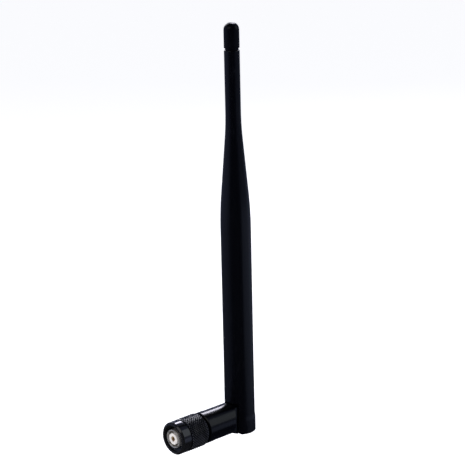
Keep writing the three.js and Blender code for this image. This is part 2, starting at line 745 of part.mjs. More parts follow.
/** The upper radiator's route: a straight tail, the phasing coil, and the whip. */
class WhipCurve extends THREE.Curve {
  getPoint(share, target = new THREE.Vector3()) {
    const bottom = coilStart - COIL_LEAD - WHIP_SOCKET_DEPTH + REST;
    const corners = [bottom, coilStart, coilEnd, WHIP_TOP];
    let section = 0;
    let start = 0;
    while (section < 2 && share > start + WHIP_SHARES[section]) {
      start += WHIP_SHARES[section];
      section++;
    }
    const along = Math.min((share - start) / WHIP_SHARES[section], 1);
    const z = THREE.MathUtils.lerp(corners[section], corners[section + 1], along);
    if (section !== 1) return target.set(0, 0, z);
    const turns = COIL_TURNS * along;
    const fromEnd = Math.min(turns, COIL_TURNS - turns);
    const radius = COIL_RADIUS * Math.min(fromEnd / COIL_EASE_TURNS, 1);
    const angle = 2 * Math.PI * turns;
    return target.set(radius * Math.cos(angle), radius * Math.sin(angle), z);
  }
}

function coilAndWhip() {
  const steps = COIL_TURNS * COIL_STEPS_PER_TURN;
  return piece('coil_and_whip', swept(new WhipCurve(), WHIP_RADIUS, steps), 'copper');
}

/** Foam discs that keep the element on the radome's axis. */
function spacer(name, bottom, bore) {
  const share = (z) => THREE.MathUtils.clamp(
    (z - TAPER_BORE_START) / (TAPER_BORE_END - TAPER_BORE_START), 0, 1);
  const top = bottom + SPACER_LENGTH;
  const wall = THREE.MathUtils.lerp(TUBE_BORE, NECK_BORE, share(top));
  return piece(name, uprightRing(bottom, top, bore + FIT, wall - FIT), 'foam');
}

function spacers() {
  const lower = LOWER_SPACER_Z.map((z, i) => spacer(`rod_spacer_${i + 1}`, z, LOWER_ROD_RADIUS));
  const upper = UPPER_SPACER_Z.map((z, i) => spacer(`whip_spacer_${i + 1}`, z, WHIP_RADIUS));
  return [...lower, ...upper];
}

// ================================================================ assembly

/** A group of meshes at a place. */
function group(meshes, y = 0) {
  const made = new THREE.Group();
  made.add(...meshes);
  made.position.y = y;
  return made;
}

const nutGroup = group([couplingNut()]);

const connectorGroup = group([
  connectorBody(),
  outerContact(),
  insulator(),
  centreContact(),
  faceGasket(),
  nutRetainingRing(),
  crimpFerrule(),
  swivelORing(),
  swivelClip(),
  coaxInBase(),
]);

const baseGroup = group([baseHousing()]);

const hingeGroup = group([
  hingePin('hinge_pin_right', 1),
  hingePin('hinge_pin_left', -1),
  hingeWasher('hinge_washer_right', 1),
  hingeWasher('hinge_washer_left', -1),
  coaxHinge(),
], PIN_Y);

const radomeGroup = group([
  radome(),
  tipCap(),
  cablePlug(),
  coaxInRadome(),
  coaxShrinkTube(),
  dipoleSleeve(),
  dipoleEndDisc(),
  dipoleBush(),
  lowerRod(),
  coilAndWhip(),
  ...spacers(),
], PIN_Y);

const antenna = new THREE.Group();
antenna.add(nutGroup, connectorGroup, baseGroup, hingeGroup, radomeGroup);

export default antenna;
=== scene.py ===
"""Looks of a tilt-and-swivel whip antenna with a threaded coaxial plug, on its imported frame.

Shapes are made in millimetres and scaled to metres as they are finished. The plug's axis is Y with
its mouth towards -Y, the tilt pin lies along X, and the radome stands up from the pin along +Z.
"""

import logging
import math
from dataclasses import dataclass
from enum import Enum

import bmesh
import bpy
from mathutils import Matrix, Vector

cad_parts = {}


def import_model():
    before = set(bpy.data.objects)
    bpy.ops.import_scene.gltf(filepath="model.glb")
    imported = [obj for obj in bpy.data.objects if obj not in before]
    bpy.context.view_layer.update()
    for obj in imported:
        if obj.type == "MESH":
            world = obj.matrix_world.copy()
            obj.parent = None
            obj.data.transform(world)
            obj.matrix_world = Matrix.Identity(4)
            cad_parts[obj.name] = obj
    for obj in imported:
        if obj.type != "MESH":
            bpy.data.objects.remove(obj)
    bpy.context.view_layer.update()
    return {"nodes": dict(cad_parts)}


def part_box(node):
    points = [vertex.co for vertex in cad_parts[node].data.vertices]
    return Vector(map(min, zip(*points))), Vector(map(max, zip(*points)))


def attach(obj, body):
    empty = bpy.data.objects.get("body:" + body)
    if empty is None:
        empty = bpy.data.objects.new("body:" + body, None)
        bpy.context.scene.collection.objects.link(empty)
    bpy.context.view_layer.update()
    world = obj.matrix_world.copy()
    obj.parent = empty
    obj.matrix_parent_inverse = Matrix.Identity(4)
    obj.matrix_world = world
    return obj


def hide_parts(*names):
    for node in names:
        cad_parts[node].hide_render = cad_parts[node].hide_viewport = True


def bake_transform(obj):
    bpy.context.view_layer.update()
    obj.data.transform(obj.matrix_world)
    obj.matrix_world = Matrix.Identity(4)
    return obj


LOG = logging.getLogger("antenna")

MM = 0.001  # metres in a millimetre
FAR = 60.0  # millimetres, beyond every piece
OVERLAP = 1.0  # millimetres by which one cutter reaches past another, so that no two faces meet
MERGE = 1e-4  # points nearer than this many millimetres are one

SMOOTH_STEPS = 128  # facets round a large piece
MIDDLE_STEPS = 96
SMALL_STEPS = 64
BORE_STEPS = 48

SHARP = 25.0  # degrees between faces from which a turned edge is rounded
CREASE = 35.0  # degrees between faces above which an edge is shaded sharp
MOULD_EDGE = 0.1  # millimetres of rounding on a moulding's edges
MOULD_LEAST = 40  # degrees between faces from which a moulding's edge is rounded

Span = tuple[float, float]
Outline = list[Span]
Triple = tuple[float, float, float]
Colour = tuple[float, float, float, float]
Solid = bmesh.types.BMesh
Socket = bpy.types.NodeSocket

ACROSS: Triple = (0.15, 6, 0.15)  # lathe rings of a piece turned on the plug's axis
UPRIGHT: Triple = (0.15, 0.15, 6)  # lathe rings of a piece turned on the radome's axis


class Operation(Enum):
    """What one solid does to another."""

    CUT = "DIFFERENCE"
    JOIN = "UNION"
    KEEP = "INTERSECT"


class Bevelled(Enum):
    """What a bevel cuts back."""

    EDGES = "EDGES"
    CORNERS = "VERTICES"


class Together(Enum):
    """How two values are put together."""

    ADD = "ADD"
    TIMES = "MULTIPLY"


class VectorStep(Enum):
    """What is done to a vector."""

    LESS = "SUBTRACT"
    TIMES = "MULTIPLY"
    LENGTH = "LENGTH"
    ALONG = "DOT_PRODUCT"


# ------------------------------------------------------------------ shapes


@dataclass(frozen=True)
class Spindle:
    """An axis that outlines are turned round.

    Args:
        direction: the axis, a unit vector.
        outward: the direction in which an outline's radius is drawn.
        centre: a point on the axis, in millimetres.
    """

    direction: Triple
    outward: Triple
    centre: Triple

    def place(self, along: float, radius: float) -> Vector:
        """Puts an outline's point in space.

        Args:
            along: distance along the axis from the centre.
            radius: distance from the axis.

        Returns:
            The point, in millimetres.
        """
        return Vector(self.centre) + Vector(self.direction) * along + Vector(self.outward) * radius


def plug_spindle() -> Spindle:
    """Returns the plug's own axis."""
    return Spindle((0, 1, 0), (0, 0, 1), (0, 0, 0))


def radome_spindle(pin_y: float) -> Spindle:
    """Returns the radome's axis, which passes through the tilt pin."""
    return Spindle((0, 0, 1), (0, 1, 0), (0, pin_y, 0))


def pin_spindle(pin_y: float) -> Spindle:
    """Returns the tilt pin's axis."""
    return Spindle((1, 0, 0), (0, 0, 1), (0, pin_y, 0))


def turned(outline: Outline, spindle: Spindle, closed: bool = True, steps: int = SMOOTH_STEPS) -> Solid:
    """Turns an outline into a solid of revolution.

    Args:
        outline: points as distance along the axis and radius.
        spindle: the axis to turn round.
        closed: whether the last point joins the first; an open outline starts and ends on the axis.
        steps: facets round the axis.

    Returns:
        The closed solid.
    """
    shape = bmesh.new()
    points = [shape.verts.new(spindle.place(along, radius)) for along, radius in outline]
    edges = [shape.edges.new(pair) for pair in zip(points, points[1:])]
    if closed:
        edges.append(shape.edges.new((points[-1], points[0])))
    bmesh.ops.spin(
        shape, geom=points + edges, cent=spindle.centre, axis=spindle.direction, angle=2 * math.pi,
        steps=steps, use_merge=True,
    )
    bmesh.ops.remove_doubles(shape, verts=shape.verts[:], dist=MERGE)
    bmesh.ops.recalc_face_normals(shape, faces=shape.faces[:])
    return shape


def rod(start: float, end: float, radius: float, spindle: Spindle, steps: int = SMOOTH_STEPS) -> Solid:
    """Returns a plain round rod between two stations on an axis."""
    return turned([(start, 0), (start, radius), (end, radius), (end, 0)], spindle, False, steps)


def block(low: Triple, high: Triple, pin_y: float) -> Solid:
    """Makes a block between two corners that are measured from the tilt pin.

    Args:
        low: the lowest corner.
        high: the highest corner.
        pin_y: the pin's station along the plug's axis.

    Returns:
        The block.
    """
    shape = bmesh.new()
    bmesh.ops.create_cube(shape, size=1)
    size = Vector(high) - Vector(low)
    middle = (Vector(high) + Vector(low)) / 2 + Vector((0, pin_y, 0))
    bmesh.ops.scale(shape, vec=size, verts=shape.verts[:])
    bmesh.ops.translate(shape, vec=middle, verts=shape.verts[:])
    return shape


def loose_object(shape: Solid, name: str) -> bpy.types.Object:
    """Moves a shape into a new object of the scene.

    Args:
        shape: the shape, which is freed.
        name: the object's name.

    Returns:
        The object.
    """
    mesh = bpy.data.meshes.new(name)
    shape.to_mesh(mesh)
    shape.free()
    made = bpy.data.objects.new(name, mesh)
    bpy.context.scene.collection.objects.link(made)
    return made


def combine(body: Solid, tool: Solid, operation: Operation) -> Solid:
    """Cuts, joins or intersects two solids.

    Args:
        body: the solid that is worked on, which is freed.
        tool: the solid that works on it, which is freed.
        operation: what the tool does.

    Returns:
        The new solid.
    """
    worked = loose_object(body, "worked")
    other = loose_object(tool, "tool")
    modifier = worked.modifiers.new("combine", "BOOLEAN")
    modifier.operation = operation.value
    modifier.solver = "EXACT"
    modifier.object = other
    graph = bpy.context.evaluated_depsgraph_get()
    result = bmesh.new()
    result.from_object(worked, graph)
    for used in (worked, other):
        mesh = used.data
        bpy.data.objects.remove(used)
        bpy.data.meshes.remove(mesh)
    bmesh.ops.remove_doubles(result, verts=result.verts[:], dist=MERGE)
    bmesh.ops.dissolve_degenerate(result, edges=result.edges[:], dist=MERGE)
    return result


def bevel(shape: Solid, parts: list[bmesh.types.BMEdge | bmesh.types.BMVert], width: float,
          segments: int, what: Bevelled) -> None:
    """Cuts back some edges or corners of a shape.

    Args:
        shape: the shape, changed in place.
        parts: the edges or vertices.
        width: how far the cut reaches from each.
        segments: facets across it.
        what: whether the parts are edges or corners.
    """
    bmesh.ops.bevel(
        shape, geom=parts, offset=width, offset_type="OFFSET", segments=segments, profile=0.5,
        affect=what.value, clamp_overlap=True, material=-1,
    )


def soften(shape: Solid, width: float, least_degrees: float = SHARP, segments: int = 3) -> None:
    """Rounds the sharp edges of a shape, as a mould or a cutter leaves them.

    Args:
        shape: the shape, changed in place.
        width: how far the rounding reaches from each edge.
        least_degrees: the smallest angle between faces that counts as sharp.
        segments: facets across the rounding.
    """
    least = math.radians(least_degrees)
    sharp = [e for e in shape.edges if len(e.link_faces) == 2 and e.calc_face_angle(0) > least]
    bevel(shape, sharp, width, segments, Bevelled.EDGES)


def mould_edges(shape: Solid) -> None:
    """Rounds a moulding's sharp edges."""
    soften(shape, MOULD_EDGE, MOULD_LEAST, 2)


def joined(shapes: list[Solid]) -> Solid:
    """Puts closed shapes into one, side by side.

    Args:
        shapes: the shapes, which are freed.

    Returns:
        One shape that holds them all.
    """
    whole = bmesh.new()
    for shape in shapes:
        mesh = bpy.data.meshes.new("part")
        shape.to_mesh(mesh)
        shape.free()
        whole.from_mesh(mesh)
        bpy.data.meshes.remove(mesh)
    return whole


def box_mm(node: str) -> tuple[Vector, Vector]:
    """Returns the lowest and highest corner of a frame node, in millimetres."""
    low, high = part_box(node)
    return low / MM, high / MM


@dataclass(frozen=True)
class Seat:
    """Where a finished piece belongs.

    Args:
        node: the frame node that the piece stands for.
        body: the body that it moves with.
        slot: a material slot's name; not used.
    """

    node: str
    body: str
    slot: str


def finish_mesh(shape: Solid, name: str, material: bpy.types.Material, crease: float) -> bpy.types.Object:
    """Scales a shape to metres, shades it and gives it its finish.

    Args:
        shape: the shape in millimetres, which is freed.
        name: the piece's name.
        material: its finish.
        crease: the angle in degrees above which an edge stays sharp.

    Returns:
        The piece, at the origin.
    """
    bmesh.ops.scale(shape, vec=(MM, MM, MM), verts=shape.verts[:])
    made = loose_object(shape, name)
    made.data.shade_smooth()
    made.data.set_sharp_from_angle(angle=math.radians(crease))
    made.data.materials.append(material)
    weighted = made.modifiers.new("even_shading", "WEIGHTED_NORMAL")
    weighted.keep_sharp = True
    return made


def seat_piece(
    shape: Solid, name: str, material: bpy.types.Material, seat: Seat, crease: float = CREASE
) -> bpy.types.Object:
    """Finishes a piece and puts it on its body in place of its frame node.

    Args:
        shape: the shape in millimetres, which is freed.
        name: the piece's name.
        material: its finish.
        seat: where it belongs.
        crease: the angle in degrees above which an edge stays sharp.

    Returns:
        The piece.
    """
    made = finish_mesh(shape, name, material, crease)
    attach(made, seat.body)
    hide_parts(seat.node)
    LOG.info("%s: %d faces, rides on %s", name, len(made.data.polygons), seat.body)
    return made


# ------------------------------------------------------------------ finishes


@dataclass(frozen=True)
class Grain:
    """An even noise.

    Args:
        size: size of its features, in millimetres.
        detail: octaves.
        stretch: scale of the coordinates along each axis.
    """

    size: float
    detail: float = 3
    stretch: Triple = (1, 1, 1)


@dataclass
class Nodes:
    """A node tree under construction: short names for the nodes that it is made of.

    Args:
        tree: the tree.
    """

    tree: bpy.types.NodeTree

    def ranged(self, value: Socket, source: Span, target: Span) -> Socket:
        """Maps a value smoothly from one range to another and holds it there.

        Args:
            value: the value.
            source: the range that it is read in.
            target: the range that it is given.

        Returns:
            The mapped value.
        """
        node = self.tree.nodes.new("ShaderNodeMapRange")
        node.interpolation_type = "SMOOTHSTEP"
        node.inputs["From Min"].default_value, node.inputs["From Max"].default_value = source
        node.inputs["To Min"].default_value, node.inputs["To Max"].default_value = target
        self.tree.links.new(value, node.inputs["Value"])
        return node.outputs["Result"]

    def combine(self, first: Socket, second: Socket | float, how: Together) -> Socket:
        """Puts two values together.

        Args:
            first: one value.
            second: the other, which may be a number.
            how: by adding or by multiplying.

        Returns:
            The result.
        """
        node = self.tree.nodes.new("ShaderNodeMath")
        node.operation = how.value
        self.tree.links.new(first, node.inputs[0])
        if isinstance(second, float):
            node.inputs[1].default_value = second
        else:
            self.tree.links.new(second, node.inputs[1])
        return node.outputs["Value"]

    def vector(self, first: Socket, how: VectorStep, second: Triple | None = None) -> bpy.types.Node:
        """Works on a vector.

        Args:
            first: the vector.
            how: what is done to it.
            second: the constant that it is done with, if it takes one.

        Returns:
            The node, with its outputs Vector and Value.
        """
        node = self.tree.nodes.new("ShaderNodeVectorMath")
        node.operation = how.value
        self.tree.links.new(first, node.inputs[0])
        if second is not None:
            node.inputs[1].default_value = second
        return node


class Sheet(Nodes):
    """A material under construction, with one Principled shader."""

    def __init__(self, name: str) -> None:
        """Starts the material.

        Args:
            name: its name.
        """
        self.material = bpy.data.materials.new(name)
        self.material.use_nodes = True
        super().__init__(self.material.node_tree)
        self.shader = self.tree.nodes["Principled BSDF"]
        self.place = self.tree.nodes.new("ShaderNodeTexCoord").outputs["Object"]

    def put(self, **values: object) -> None:
        """Sets constants on the shader's own sockets, spaces written as underscores."""
        for name, value in values.items():
            self.shader.inputs[name.replace("_", " ")].default_value = value

    def wire(self, output: Socket, socket: str) -> None:
        """Joins an output to one of the shader's sockets."""
        self.tree.links.new(output, self.shader.inputs[socket])

    def stretched(self, stretch: Triple) -> Socket:
        """Scales the object's own coordinates, which are in metres.

        Args:
            stretch: the scale along each axis.

        Returns:
            The coordinates.
        """
        mapping = self.tree.nodes.new("ShaderNodeMapping")
        mapping.inputs["Scale"].default_value = stretch
        self.tree.links.new(self.place, mapping.inputs["Vector"])
        return mapping.outputs["Vector"]

    def noise(self, grain: Grain) -> Socket:
        """Makes an even noise.

        Args:
            grain: the noise.

        Returns:
            Its factor.
        """
        noise = self.tree.nodes.new("ShaderNodeTexNoise")
        noise.inputs["Scale"].default_value = 1 / (grain.size * MM)
        noise.inputs["Detail"].default_value = grain.detail
        self.tree.links.new(self.stretched(grain.stretch), noise.inputs["Vector"])
        return noise.outputs["Fac"]

    def cells(self, size: float) -> Socket:
        """Packs cells side by side.

        Args:
            size: a cell's size in millimetres.

        Returns:
            The distance to the nearest cell's middle.
        """
        cells = self.tree.nodes.new("ShaderNodeTexVoronoi")
        cells.inputs["Scale"].default_value = 1 / (size * MM)
        self.tree.links.new(self.place, cells.inputs["Vector"])
        return cells.outputs["Distance"]

    def from_axis(self, offset: Triple, keep: Triple) -> Socket:
        """Measures the distance from an axis or a plane of the piece.

        Args:
            offset: a point on it, in metres.
            keep: 1 for each coordinate that counts and 0 for the others.

        Returns:
            The distance, in metres.
        """
        moved = self.vector(self.place, VectorStep.LESS, offset)
        flat = self.vector(moved.outputs["Vector"], VectorStep.TIMES, keep)
        return self.vector(flat.outputs["Vector"], VectorStep.LENGTH).outputs["Value"]

    def between(self, share: Socket, first: Colour, second: Colour | Socket) -> Socket:
        """Mixes two colours.

        Args:
            share: how much of the second shows.
            first: one colour.
            second: the other, which may come from another node.

        Returns:
            The colour between them.
        """
        mix = self.tree.nodes.new("ShaderNodeMix")
        mix.data_type = "RGBA"
        ends = {socket.name: socket for socket in mix.inputs if socket.type == "RGBA"}
        ends["A"].default_value = first
        if isinstance(second, tuple):
            ends["B"].default_value = second
        else:
            self.tree.links.new(second, ends["B"])
        self.tree.links.new(share, mix.inputs["Factor"])
        return next(o for o in mix.outputs if o.type == "RGBA")

    def relief(self, height: Socket, depth: float, strength: float = 1.0) -> None:
        """Raises the surface by a height.

        Args:
            height: the height, from 0 to 1.
            depth: what 1 stands for, in millimetres.
            strength: how much of it shows.
        """
        bump = self.tree.nodes.new("ShaderNodeBump")
        bump.inputs["Strength"].default_value = strength
        bump.inputs["Distance"].default_value = depth * MM
        self.tree.links.new(height, bump.inputs["Height"])
        self.wire(bump.outputs["Normal"], "Normal")


@dataclass(frozen=True)
class MouldedShell:
    """Glossy black injection-moulded plastic with a faint grain and handling marks.

    Args:
        name: the material's name.
        colour: the plastic.
        rubbed: the same plastic where it is lightly scuffed.
        gloss: roughness of the clean surface.
        haze: how much rougher the dullest patches are.
        index: index of refraction, which sets how strongly it mirrors.
        patches, scuffs: the two noises whose product marks the surface.
        rub_range, haze_range: the marks over which the colour and the roughness change.
        skin: the moulded grain.
        skin_depth, skin_strength: its depth in millimetres, and how much of it shows.
    """

    name: str
    colour: Colour = (0.0008, 0.0010, 0.0022, 1)
    rubbed: Colour = (0.0022, 0.0026, 0.0044, 1)
    gloss: float = 0.2
    haze: float = 0.06
    index: float = 1.5
    patches: Grain = Grain(7, 4)
    scuffs: Grain = Grain(0.9, 5, (1, 1, 0.25))
    rub_range: Span = (0.3, 0.5)
    haze_range: Span = (0.15, 0.45)
    skin: Grain = Grain(0.5, 2)
    skin_depth: float = 0.0006
    skin_strength: float = 0.3

    def make(self) -> bpy.types.Material:
        """Makes the material.

        Returns:
            The material.
        """
        sheet = Sheet(self.name)
        marks = sheet.combine(sheet.noise(self.patches), sheet.noise(self.scuffs), Together.TIMES)
        rubbed = sheet.ranged(marks, self.rub_range, (0, 1))
        sheet.wire(sheet.between(rubbed, self.colour, self.rubbed), "Base Color")
        sheet.wire(sheet.ranged(marks, self.haze_range, (self.gloss, self.gloss + self.haze)), "Roughness")
        sheet.relief(sheet.noise(self.skin), self.skin_depth, self.skin_strength)
        sheet.put(IOR=self.index)
        return sheet.material


@dataclass(frozen=True)
class KnurlPlating:
    """Black-plated metal: mirror-like on the plain ring, duller and rubbed bright on the knurl's points, with
    painted shade in its valleys.

    Args:
        name: the material's name.
        colour: the plating on the plain faces.
        worn: the plating on the points.
        deep: painted shade in the valleys and on the flanks, darker than the plating on the plain faces.
        valley: radius in millimetres where wear starts and the painted shade starts to give way.
        point: radius in millimetres where it is full.
        knurl_start: station in millimetres along the nut where the knurl starts.
        knurl_blend: half the length over which one finish becomes the other.
        handling, handling_range, handling_share: where the points are worn, and how much.
        dulled: how much rougher the knurl is than the ring.
        clouds, cloud_range, gloss_range: the roughness's patches.
        rings, ring_depth, ring_strength: the lathe's rings under the plating.
        metallic, index: the plating's mirror.
    """

    name: str
    colour: Colour = (0.09, 0.09, 0.093, 1)
    worn: Colour = (0.33, 0.33, 0.35, 1)
    # Painted shade: the valleys are darkened in the colour, below the plating's own shade on the plain ring.
    deep: Colour = (0.012, 0.012, 0.013, 1)
    valley: float = 7.05
    point: float = 7.24
    knurl_start: float = 4.8
    knurl_blend: float = 0.1
    handling: Grain = Grain(2.2, 4)
    handling_range: Span = (0.35, 0.65)
    handling_share: Span = (0.45, 1)
    dulled: float = 0.18
    clouds: Grain = Grain(0.8, 4)
    cloud_range: Span = (0.3, 0.7)
    gloss_range: Span = (0.1, 0.16)
    rings: Grain = Grain(0.3, 2, (0.2, 5, 0.2))
    ring_depth: float = 0.0008
    ring_strength: float = 0.3
    metallic: float = 0.93
    index: float = 1.6

    def make(self) -> bpy.types.Material:
        """Makes the material.

        Returns:
            The material.
        """
        sheet = Sheet(self.name)
        radius = sheet.from_axis((0, 0, 0), (1, 0, 1))
        high = sheet.ranged(radius, (self.valley * MM, self.point * MM), (0, 1))
        station = sheet.from_axis((0, 0, 0), (0, 1, 0))
        start, blend = self.knurl_start * MM, self.knurl_blend * MM
        knurled = sheet.ranged(station, (start - blend, start + blend), (0, 1))
        handled = sheet.ranged(sheet.noise(self.handling), self.handling_range, self.handling_share)
        # Painted shade in the valleys and on the flanks, blending into real wear on the points.
        diamonds = sheet.between(sheet.combine(high, handled, Together.TIMES), self.deep, self.worn)
        sheet.wire(sheet.between(knurled, self.colour, diamonds), "Base Color")
        dulled = sheet.ranged(knurled, (0, 1), (0, self.dulled))
        cloudy = sheet.ranged(sheet.noise(self.clouds), self.cloud_range, self.gloss_range)
        sheet.wire(sheet.combine(dulled, cloudy, Together.ADD), "Roughness")
        sheet.relief(sheet.noise(self.rings), self.ring_depth, self.ring_strength)
        sheet.put(Metallic=self.metallic, IOR=self.index)
        return sheet.material


@dataclass(frozen=True)
class PlatedMetal:
    """Turned and plated metal: fine lathe rings, and a little tarnish.

    Args:
        name: the material's name.
        colour: the clean plating.
        tarnish: its duller patches.
        gloss: roughness of the clean plating.
        lay: how the lathe rings squeeze the pattern along each axis.
        metallic: below 1 for a satin plating that also scatters light.
        patches, patch_range: where it is tarnished.
        ring_size, ring_range: the lathe rings.
        rise: how much rougher the rings' crests are.
        ring_depth, ring_strength: the rings' depth in millimetres, and how much of it shows.
    """

    name: str
    colour: Colour
    tarnish: Colour
    gloss: float = 0.22
    lay: Triple = ACROSS
    metallic: float = 1.0
    patches: Grain = Grain(1.4, 5)
    patch_range: Span = (0.4, 0.75)
    ring_size: float = 0.35
    ring_range: Span = (0.3, 0.7)
    rise: float = 0.12
    ring_depth: float = 0.004
    ring_strength: float = 0.4

    def make(self) -> bpy.types.Material:
        """Makes the material.

        Returns:
            The material.
        """
        sheet = Sheet(self.name)
        patches = sheet.ranged(sheet.noise(self.patches), self.patch_range, (0, 1))
        sheet.wire(sheet.between(patches, self.colour, self.tarnish), "Base Color")
        rings = sheet.noise(Grain(self.ring_size, 2, self.lay))
        sheet.wire(sheet.ranged(rings, self.ring_range, (self.gloss, self.gloss + self.rise)), "Roughness")
        sheet.relief(rings, self.ring_depth, self.ring_strength)
        sheet.put(Metallic=self.metallic)
        return sheet.material


@dataclass(frozen=True)
class SoftPolymer:
    """A plain polymer or rubber: slight mottling and a fine moulded grain.

    Args:
        name: the material's name.
        colour: the polymer.
        mottled: its other shade.
        gloss: roughness.
        grain: size of the surface grain in millimetres.
        depth: depth of the grain in millimetres.
        mottle, mottle_range: where the other shade shows.
        patches, patch_range: where it is duller.
        rise: how much rougher the dull patches are.
        strength: how much of the grain shows.
    """

    name: str
    colour: Colour
    mottled: Colour
    gloss: float = 0.5
    grain: float = 0.25
    depth: float = 0.01
    mottle: Grain = Grain(1.8, 4)
    mottle_range: Span = (0.35, 0.65)
    patches: Grain = Grain(0.7)
    patch_range: Span = (0.3, 0.7)
    rise: float = 0.1
    strength: float = 0.5

    def make(self) -> bpy.types.Material:
        """Makes the material.

        Returns:
            The material.
        """
        sheet = Sheet(self.name)
        shade = sheet.ranged(sheet.noise(self.mottle), self.mottle_range, (0, 1))
        sheet.wire(sheet.between(shade, self.colour, self.mottled), "Base Color")
        dull = sheet.ranged(sheet.noise(self.patches), self.patch_range, (self.gloss, self.gloss + self.rise))
        sheet.wire(dull, "Roughness")
        sheet.relief(sheet.noise(Grain(self.grain)), self.depth, self.strength)
        return sheet.material


@dataclass(frozen=True)
class CellFoam:
    """Closed-cell foam, with painted shade in its cells' middles.

    Args:
        name: the material's name.
        colour: the cells' walls.
        painted_cell_shade: painted shade in the cells' middles, where the relief sinks.
        cell: a cell's size in millimetres.
        wall_range: the distances from a cell's middle over which its wall starts.
        patches, patch_range, gloss_range: the roughness's patches.
        depth, strength: the cells' depth in millimetres, and how much of it shows.
    """

    name: str
    colour: Colour = (0.76, 0.73, 0.65, 1)
    # Painted shade: the cells' sunken middles are darkened in the colour.
    painted_cell_shade: Colour = (0.5, 0.47, 0.4, 1)
    cell: float = 0.45
    wall_range: Span = (0.1, 0.55)
    patches: Grain = Grain(1.2)
    patch_range: Span = (0.3, 0.7)
    gloss_range: Span = (0.85, 0.97)
    depth: float = 0.08
    strength: float = 0.8

    def make(self) -> bpy.types.Material:
        """Makes the material.

        Returns:
            The material.
        """
        sheet = Sheet(self.name)
        wall = sheet.ranged(sheet.cells(self.cell), self.wall_range, (0, 1))
        # Painted shade in each cell's middle, full colour on its walls.
        sheet.wire(sheet.between(wall, self.painted_cell_shade, self.colour), "Base Color")
        sheet.wire(sheet.ranged(sheet.noise(self.patches), self.patch_range, self.gloss_range), "Roughness")
        sheet.relief(wall, self.depth, self.strength)
        return sheet.material


@dataclass
class Finishes:
    """Every finish of the antenna, made once."""

    def __post_init__(self) -> None:
        """Makes the materials."""
        self.shell = MouldedShell("moulded_shell").make()
        self.cap = MouldedShell("moulded_cap", gloss=0.26, index=1.33).make()
        self.nut = KnurlPlating("knurl_plating").make()
        self.silver = PlatedMetal(
            "silver_plate", (0.84, 0.83, 0.80, 1), (0.62, 0.60, 0.56, 1), 0.22, metallic=0.8).make()
        self.gold = PlatedMetal(
            "gold_plate", (0.86, 0.66, 0.42, 1), (0.62, 0.46, 0.30, 1), 0.24, metallic=0.8).make()
        self.nickel = PlatedMetal(
            "nickel_plate", (0.62, 0.59, 0.53, 1), (0.42, 0.39, 0.34, 1), 0.26).make()
        self.steel = PlatedMetal(
            "spring_steel", (0.42, 0.43, 0.45, 1), (0.25, 0.25, 0.26, 1), 0.28).make()
        self.brass = PlatedMetal(
            "brass", (0.62, 0.43, 0.17, 1), (0.34, 0.22, 0.10, 1), 0.3, UPRIGHT).make()
        self.copper = PlatedMetal(
            "copper_wire", (0.66, 0.31, 0.17, 1), (0.36, 0.17, 0.10, 1), 0.3, UPRIGHT).make()
        self.ptfe = SoftPolymer(
            "white_dielectric", (0.86, 0.84, 0.82, 1), (0.80, 0.77, 0.75, 1), 0.45).make()
        self.gasket = SoftPolymer(
            "gasket_silicone", (0.27, 0.045, 0.03, 1), (0.2, 0.03, 0.02, 1), 0.6).make()
        self.rubber = SoftPolymer(
            "black_rubber", (0.008, 0.008, 0.008, 1), (0.014, 0.014, 0.014, 1), 0.7).make()
        self.cable = SoftPolymer(
            "cable_jacket", (0.25, 0.10, 0.04, 1), (0.19, 0.075, 0.03, 1), 0.35).make()
        self.shrink = SoftPolymer(
            "shrink_tube", (0.007, 0.007, 0.008, 1), (0.012, 0.012, 0.013, 1), 0.5, 0.6).make()
        self.foam = CellFoam("spacer_foam").make()


# ------------------------------------------------------------------ coupling nut


